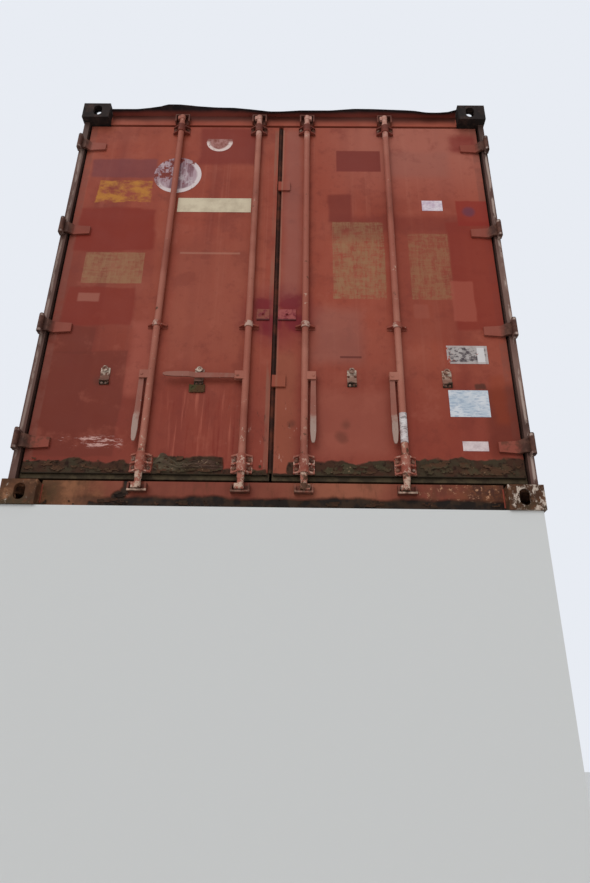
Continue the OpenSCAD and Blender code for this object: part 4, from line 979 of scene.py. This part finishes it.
def scabs(name, x0, x1, z0, z1, depth, body, material, cover=0.0, lift=0.006, seed=11, step=0.005):
    """A crust with ragged edges and holes, curled away from the plate behind it."""
    mesh = bmesh.new()
    columns, lines = int((x1 - x0) / step), int((z1 - z0) / step)
    door_grid(mesh, (x0 + x1) / 2, (z0 + z1) / 2, x1 - x0, z1 - z0, depth, columns, lines)

    def amount(x, z):
        edge = min((z - z0) / 0.02, (z1 - z) / 0.035, (x - x0) / 0.03, (x1 - x) / 0.03, 1.0)
        return fractal(x * 16, z * 34, seed) + cover + (edge - 1) * 0.9

    lost = []
    for face in mesh.faces:
        middle = face.calc_center_median()
        if amount(middle.x, middle.z) < 0:
            lost.append(face)
    bmesh.ops.delete(mesh, geom=lost, context="FACES")
    for vertex in mesh.verts:
        near_edge = 1.0 - min(1.0, max(0.0, amount(vertex.co.x, vertex.co.z)) / 0.25)
        curl = 0.35 + 0.65 * near_edge
        wave = 0.5 + 0.5 * fractal(vertex.co.x * 30, vertex.co.z * 60, seed + 4)
        vertex.co.y -= lift * curl * max(0.05, wave)
        vertex.co.x += 0.002 * fractal(vertex.co.x * 90, vertex.co.z * 90, seed + 9)
        vertex.co.z += 0.002 * fractal(vertex.co.x * 90, vertex.co.z * 90, seed + 17)
    thicken(mesh, -0.0012)
    return finished_piece(name, mesh, body, material, smooth=False)


crust_foot = 0.174
crust = scab_finish("door_crust", (82, 56, 41), (72, 63, 46), (46, 34, 26))
for name, x0, x1, z1, cover, lift, seed in (
        ("left_door_crust_1", -1.165, -0.67, 0.25, 0.05, 0.006, 21),
        ("left_door_crust_2", -0.56, -0.215, 0.262, 0.12, 0.009, 22),
        ("left_door_crust_3", -0.13, -0.03, 0.220, 0.35, 0.005, 23),
        ("right_door_crust_1", 0.20, 0.562, 0.248, 0.1, 0.006, 24),
        ("right_door_crust_2", 0.668, 1.165, 0.262, 0.08, 0.006, 25)):
    scabs(name, x0, x1, crust_foot, z1, crust_depth, name.split("_crust")[0], crust, cover,
        lift, seed)
sill_crust = scab_finish("sill_crust", (70, 46, 34), (56, 44, 34), (34, 26, 23))
scabs("sill_crust", -1.05, 1.05, 0.015, 0.058, sill_crust_depth, "root", sill_crust, 0.08,
    0.006, 31, 0.007)
dent_crust = scab_finish("dent_crust", (36, 27, 24), (44, 34, 28), (22, 17, 16))
scabs("sill_dent_crust", -0.74, -0.65, 0.015, 0.095, sill_crust_depth, "root", dent_crust,
    0.25, 0.008, 33)


# The torn and folded skin between bars 1 and 2

def folded_skin():
    x0, x1, z0, z1 = -0.560, -0.232, 0.176, 0.268
    mesh = bmesh.new()
    door_grid(mesh, (x0 + x1) / 2, (z0 + z1) / 2, x1 - x0, z1 - z0, crust_depth, 110, 34)
    for vertex in mesh.verts:
        u = (vertex.co.x - x0) / (x1 - x0)
        w = (vertex.co.z - z0) / (z1 - z0)
        hump = math.exp(-((u - 0.13) / 0.14) ** 2)
        top = 0.66 + 0.32 * hump + 0.07 * math.sin(u * 11) + 0.10 * fractal(u * 7, 0.0, 41)
        foot = 0.10 + 0.16 * math.exp(-((u - 0.62) / 0.25) ** 2) + 0.06 * fractal(u * 8, 0.0, 45)
        ends = max(0.0, min(1.0, u / 0.10, (1 - u) / 0.08))
        middle = (top + foot) / 2
        vertex.co.z = z0 + (z1 - z0) * (middle + (w - 0.5) * (top - foot) * (0.35 + 0.65 * ends))
        crease = 0.38 + 0.16 * math.sin(u * 7 + 0.5) + 0.05 * fractal(u * 10, 0.0, 46)
        fold = 0.008 * math.exp(-((w - crease) / 0.10) ** 2) + 0.004 * math.sin(math.pi * w)
        curl = 0.007 * max(0.0, (w - 0.82) / 0.18) * (0.4 + 0.6 * abs(math.sin(u * 9)))
        dip = -0.004 * math.exp(-((w - crease - 0.2) / 0.08) ** 2)
        vertex.co.y -= max(0.0, (fold + curl + dip + 0.0025 * fractal(u * 20, w * 7, 43)) * ends)
    thicken(mesh, -0.0015)
    f = Finish("torn_skin")
    f.color = f.mix(f.blots(0.4, 0.6, 8, 5, 0.6), (82, 60, 50), (88, 76, 60))
    f.lay(f.blots(0.5, 0.62, 14, 6, 0.7, (1, 1, 3, (3, 3, 3))), (50, 36, 28))
    f.lay(f.blots(0.6, 0.66, 50, 5, 0.7), (146, 120, 96), 0.8)
    f.relief((f.noise(60, 4), 0.0008))
    return finished_piece("folded_door_skin", mesh, "left_door", f.surface(0.85))


folded_skin()


# The lip of the left gasket, which nearly fills the centre gap

lip = bmesh.new()
lip_x, lip_low, lip_high = -0.0142, 0.185, 2.455
door_grid(lip, lip_x, (lip_low + lip_high) / 2, 0.0185, lip_high - lip_low, 0.0725, 6, 240)
for vertex in lip.verts:
    across = (vertex.co.x - lip_x) / 0.0093
    vertex.co.y -= 0.0035 * (1 - across * across)
    vertex.co.x += 0.0012 * fractal(0.0, vertex.co.z * 5, 71)
    vertex.co.y += 0.0015 * fractal(0.0, vertex.co.z * 7, 72)
thicken(lip, 0.0016)
finished_piece("centre_gasket_lip", lip, "left_door", finishes["seal_rubber"])


# Tape wound round bar 4, and the catch plate that hangs below the retainer of handle 2

tape = bmesh.new()
tape_radius, tape_length, tape_z = 0.0176, 0.155, 0.411
bmesh.ops.create_cone(tape, cap_ends=False, segments=40, radius1=tape_radius, radius2=tape_radius,
    depth=tape_length, matrix=Matrix.Translation(on_door(bar_x[4], bar_depth, tape_z)))
long_edges = [edge for edge in tape.edges if abs(edge.verts[0].co.z - edge.verts[1].co.z) > 0.1]
bmesh.ops.subdivide_edges(tape, edges=long_edges, cuts=44, use_grid_fill=True)
for vertex in tape.verts:
    spoke = Vector((vertex.co.x - bar_x[4], vertex.co.y - end_y - bar_depth, 0))
    angle = math.atan2(spoke.y, spoke.x)
    wrap = (vertex.co.z * 42 + angle / (2 * math.pi)) % 1.0
    wrinkle = 0.0006 * (1 if wrap < 0.5 else 0) + 0.0005 * fractal(angle * 2.2, vertex.co.z * 60, 51)
    vertex.co += spoke.normalized() * max(wrinkle, -0.0003)
finished_piece("bar_tape", tape, "bar_4",
    label_finish("tape_film", (222, 214, 212), (196, 180, 178), (84, 76, 78), 0.6, 0.56, 30))

plate = bmesh.new()
door_grid(plate, -0.385, 0.626, 0.078, 0.042, plate_face, 18, 10)
for vertex in plate.verts:
    vertex.co.z += 0.004 * fractal(vertex.co.x * 30, 0.0, 61)
    vertex.co.y -= 0.0025 * (1 + fractal(vertex.co.x * 26, vertex.co.z * 26, 62))
thicken(plate, 0.004)
finished_piece("hanging_catch_plate", plate, "left_door",
    scab_finish("catch_plate_rust", (82, 58, 38), (76, 70, 44), (44, 36, 26)))


# Screws in the floor, over each cross member

screws = bmesh.new()
last_row, last_column = 16, 23
for row in range(last_row + 1):
    y = cross_low.y + 0.03 + (cross_high.y - cross_low.y - 0.06) * row / last_row
    for column in range(last_column + 1):
        x = floor_low.x + 0.07 + (floor_high.x - floor_low.x - 0.14) * column / last_column
        bmesh.ops.create_cone(screws, cap_ends=True, segments=10, radius1=0.0055, radius2=0.0048,
            depth=0.0012, matrix=Matrix.Translation((x, y, floor_high.z)))
finished_piece("floor_screws", screws, "root", bolt_steel, smooth=False)


# Stage: pale floor, two pale plinths under the ends of the container, soft light

pale = bpy.data.materials.new("pale_stage")
pale.use_nodes = True
pale_shader = pale.node_tree.nodes["Principled BSDF"]
pale_shader.inputs["Base Color"].default_value = (*linear(214, 214, 212), 1)
pale_shader.inputs["Roughness"].default_value = 0.9


def stage_block(name, low_corner, high_corner):
    low_corner, high_corner = Vector(low_corner), Vector(high_corner)
    mesh = bmesh.new()
    bmesh.ops.create_cube(mesh, size=1)
    bmesh.ops.scale(mesh, vec=high_corner - low_corner, verts=mesh.verts)
    bmesh.ops.translate(mesh, vec=(high_corner + low_corner) / 2, verts=mesh.verts)
    data = bpy.data.meshes.new(name)
    mesh.to_mesh(data)
    mesh.free()
    data.materials.append(pale)
    block = bpy.data.objects.new(name, data)
    bpy.context.scene.collection.objects.link(block)


floor_z = -container_top
plinth_depth = 0.5
plinth_inset = 0.012
floor_reach = 60
stage_block("floor", (-floor_reach, -floor_reach, floor_z - 0.1), (floor_reach, floor_reach, floor_z))
for end, name in ((-1, "door_plinth"), (1, "front_plinth")):
    outer = end * (high.y - plinth_inset)
    inner = outer - end * plinth_depth
    stage_block(name, (-half_width + plinth_inset, min(outer, inner), floor_z),
        (half_width - plinth_inset, max(outer, inner), low.z - 0.001))

world = bpy.data.worlds.new("studio")
bpy.context.scene.world = world
world.use_nodes = True
world_nodes = world.node_tree.nodes
world_links = world.node_tree.links
world_nodes.clear()
rays = world_nodes.new("ShaderNodeLightPath")
seen = world_nodes.new("ShaderNodeMath")
seen.operation = "MAXIMUM"
world_links.new(rays.outputs["Is Camera Ray"], seen.inputs[0])
world_links.new(rays.outputs["Is Glossy Ray"], seen.inputs[1])
blend = world_nodes.new("ShaderNodeMixShader")
world_links.new(seen.outputs[0], blend.inputs[0])
soft_light, pale_sky = (0.93, 0.96, 1.0), linear(232, 236, 243)
for number, color, strength in ((1, soft_light, 0.62), (2, pale_sky, 1.0)):
    glow = world_nodes.new("ShaderNodeBackground")
    glow.inputs["Color"].default_value = (*color, 1)
    glow.inputs["Strength"].default_value = strength
    world_links.new(glow.outputs[0], blend.inputs[number])
world_out = world_nodes.new("ShaderNodeOutputWorld")
world_links.new(blend.outputs[0], world_out.inputs["Surface"])

sun_data = bpy.data.lights.new("soft_light", "SUN")
sun_data.energy = 1.05
sun_data.angle = math.radians(40)
sun = bpy.data.objects.new("soft_light", sun_data)
sun.rotation_euler = Vector((0.35, 0.75, -0.62)).to_track_quat("-Z", "Y").to_euler()
bpy.context.scene.collection.objects.link(sun)

bpy.context.scene.view_settings.view_transform = "Standard"
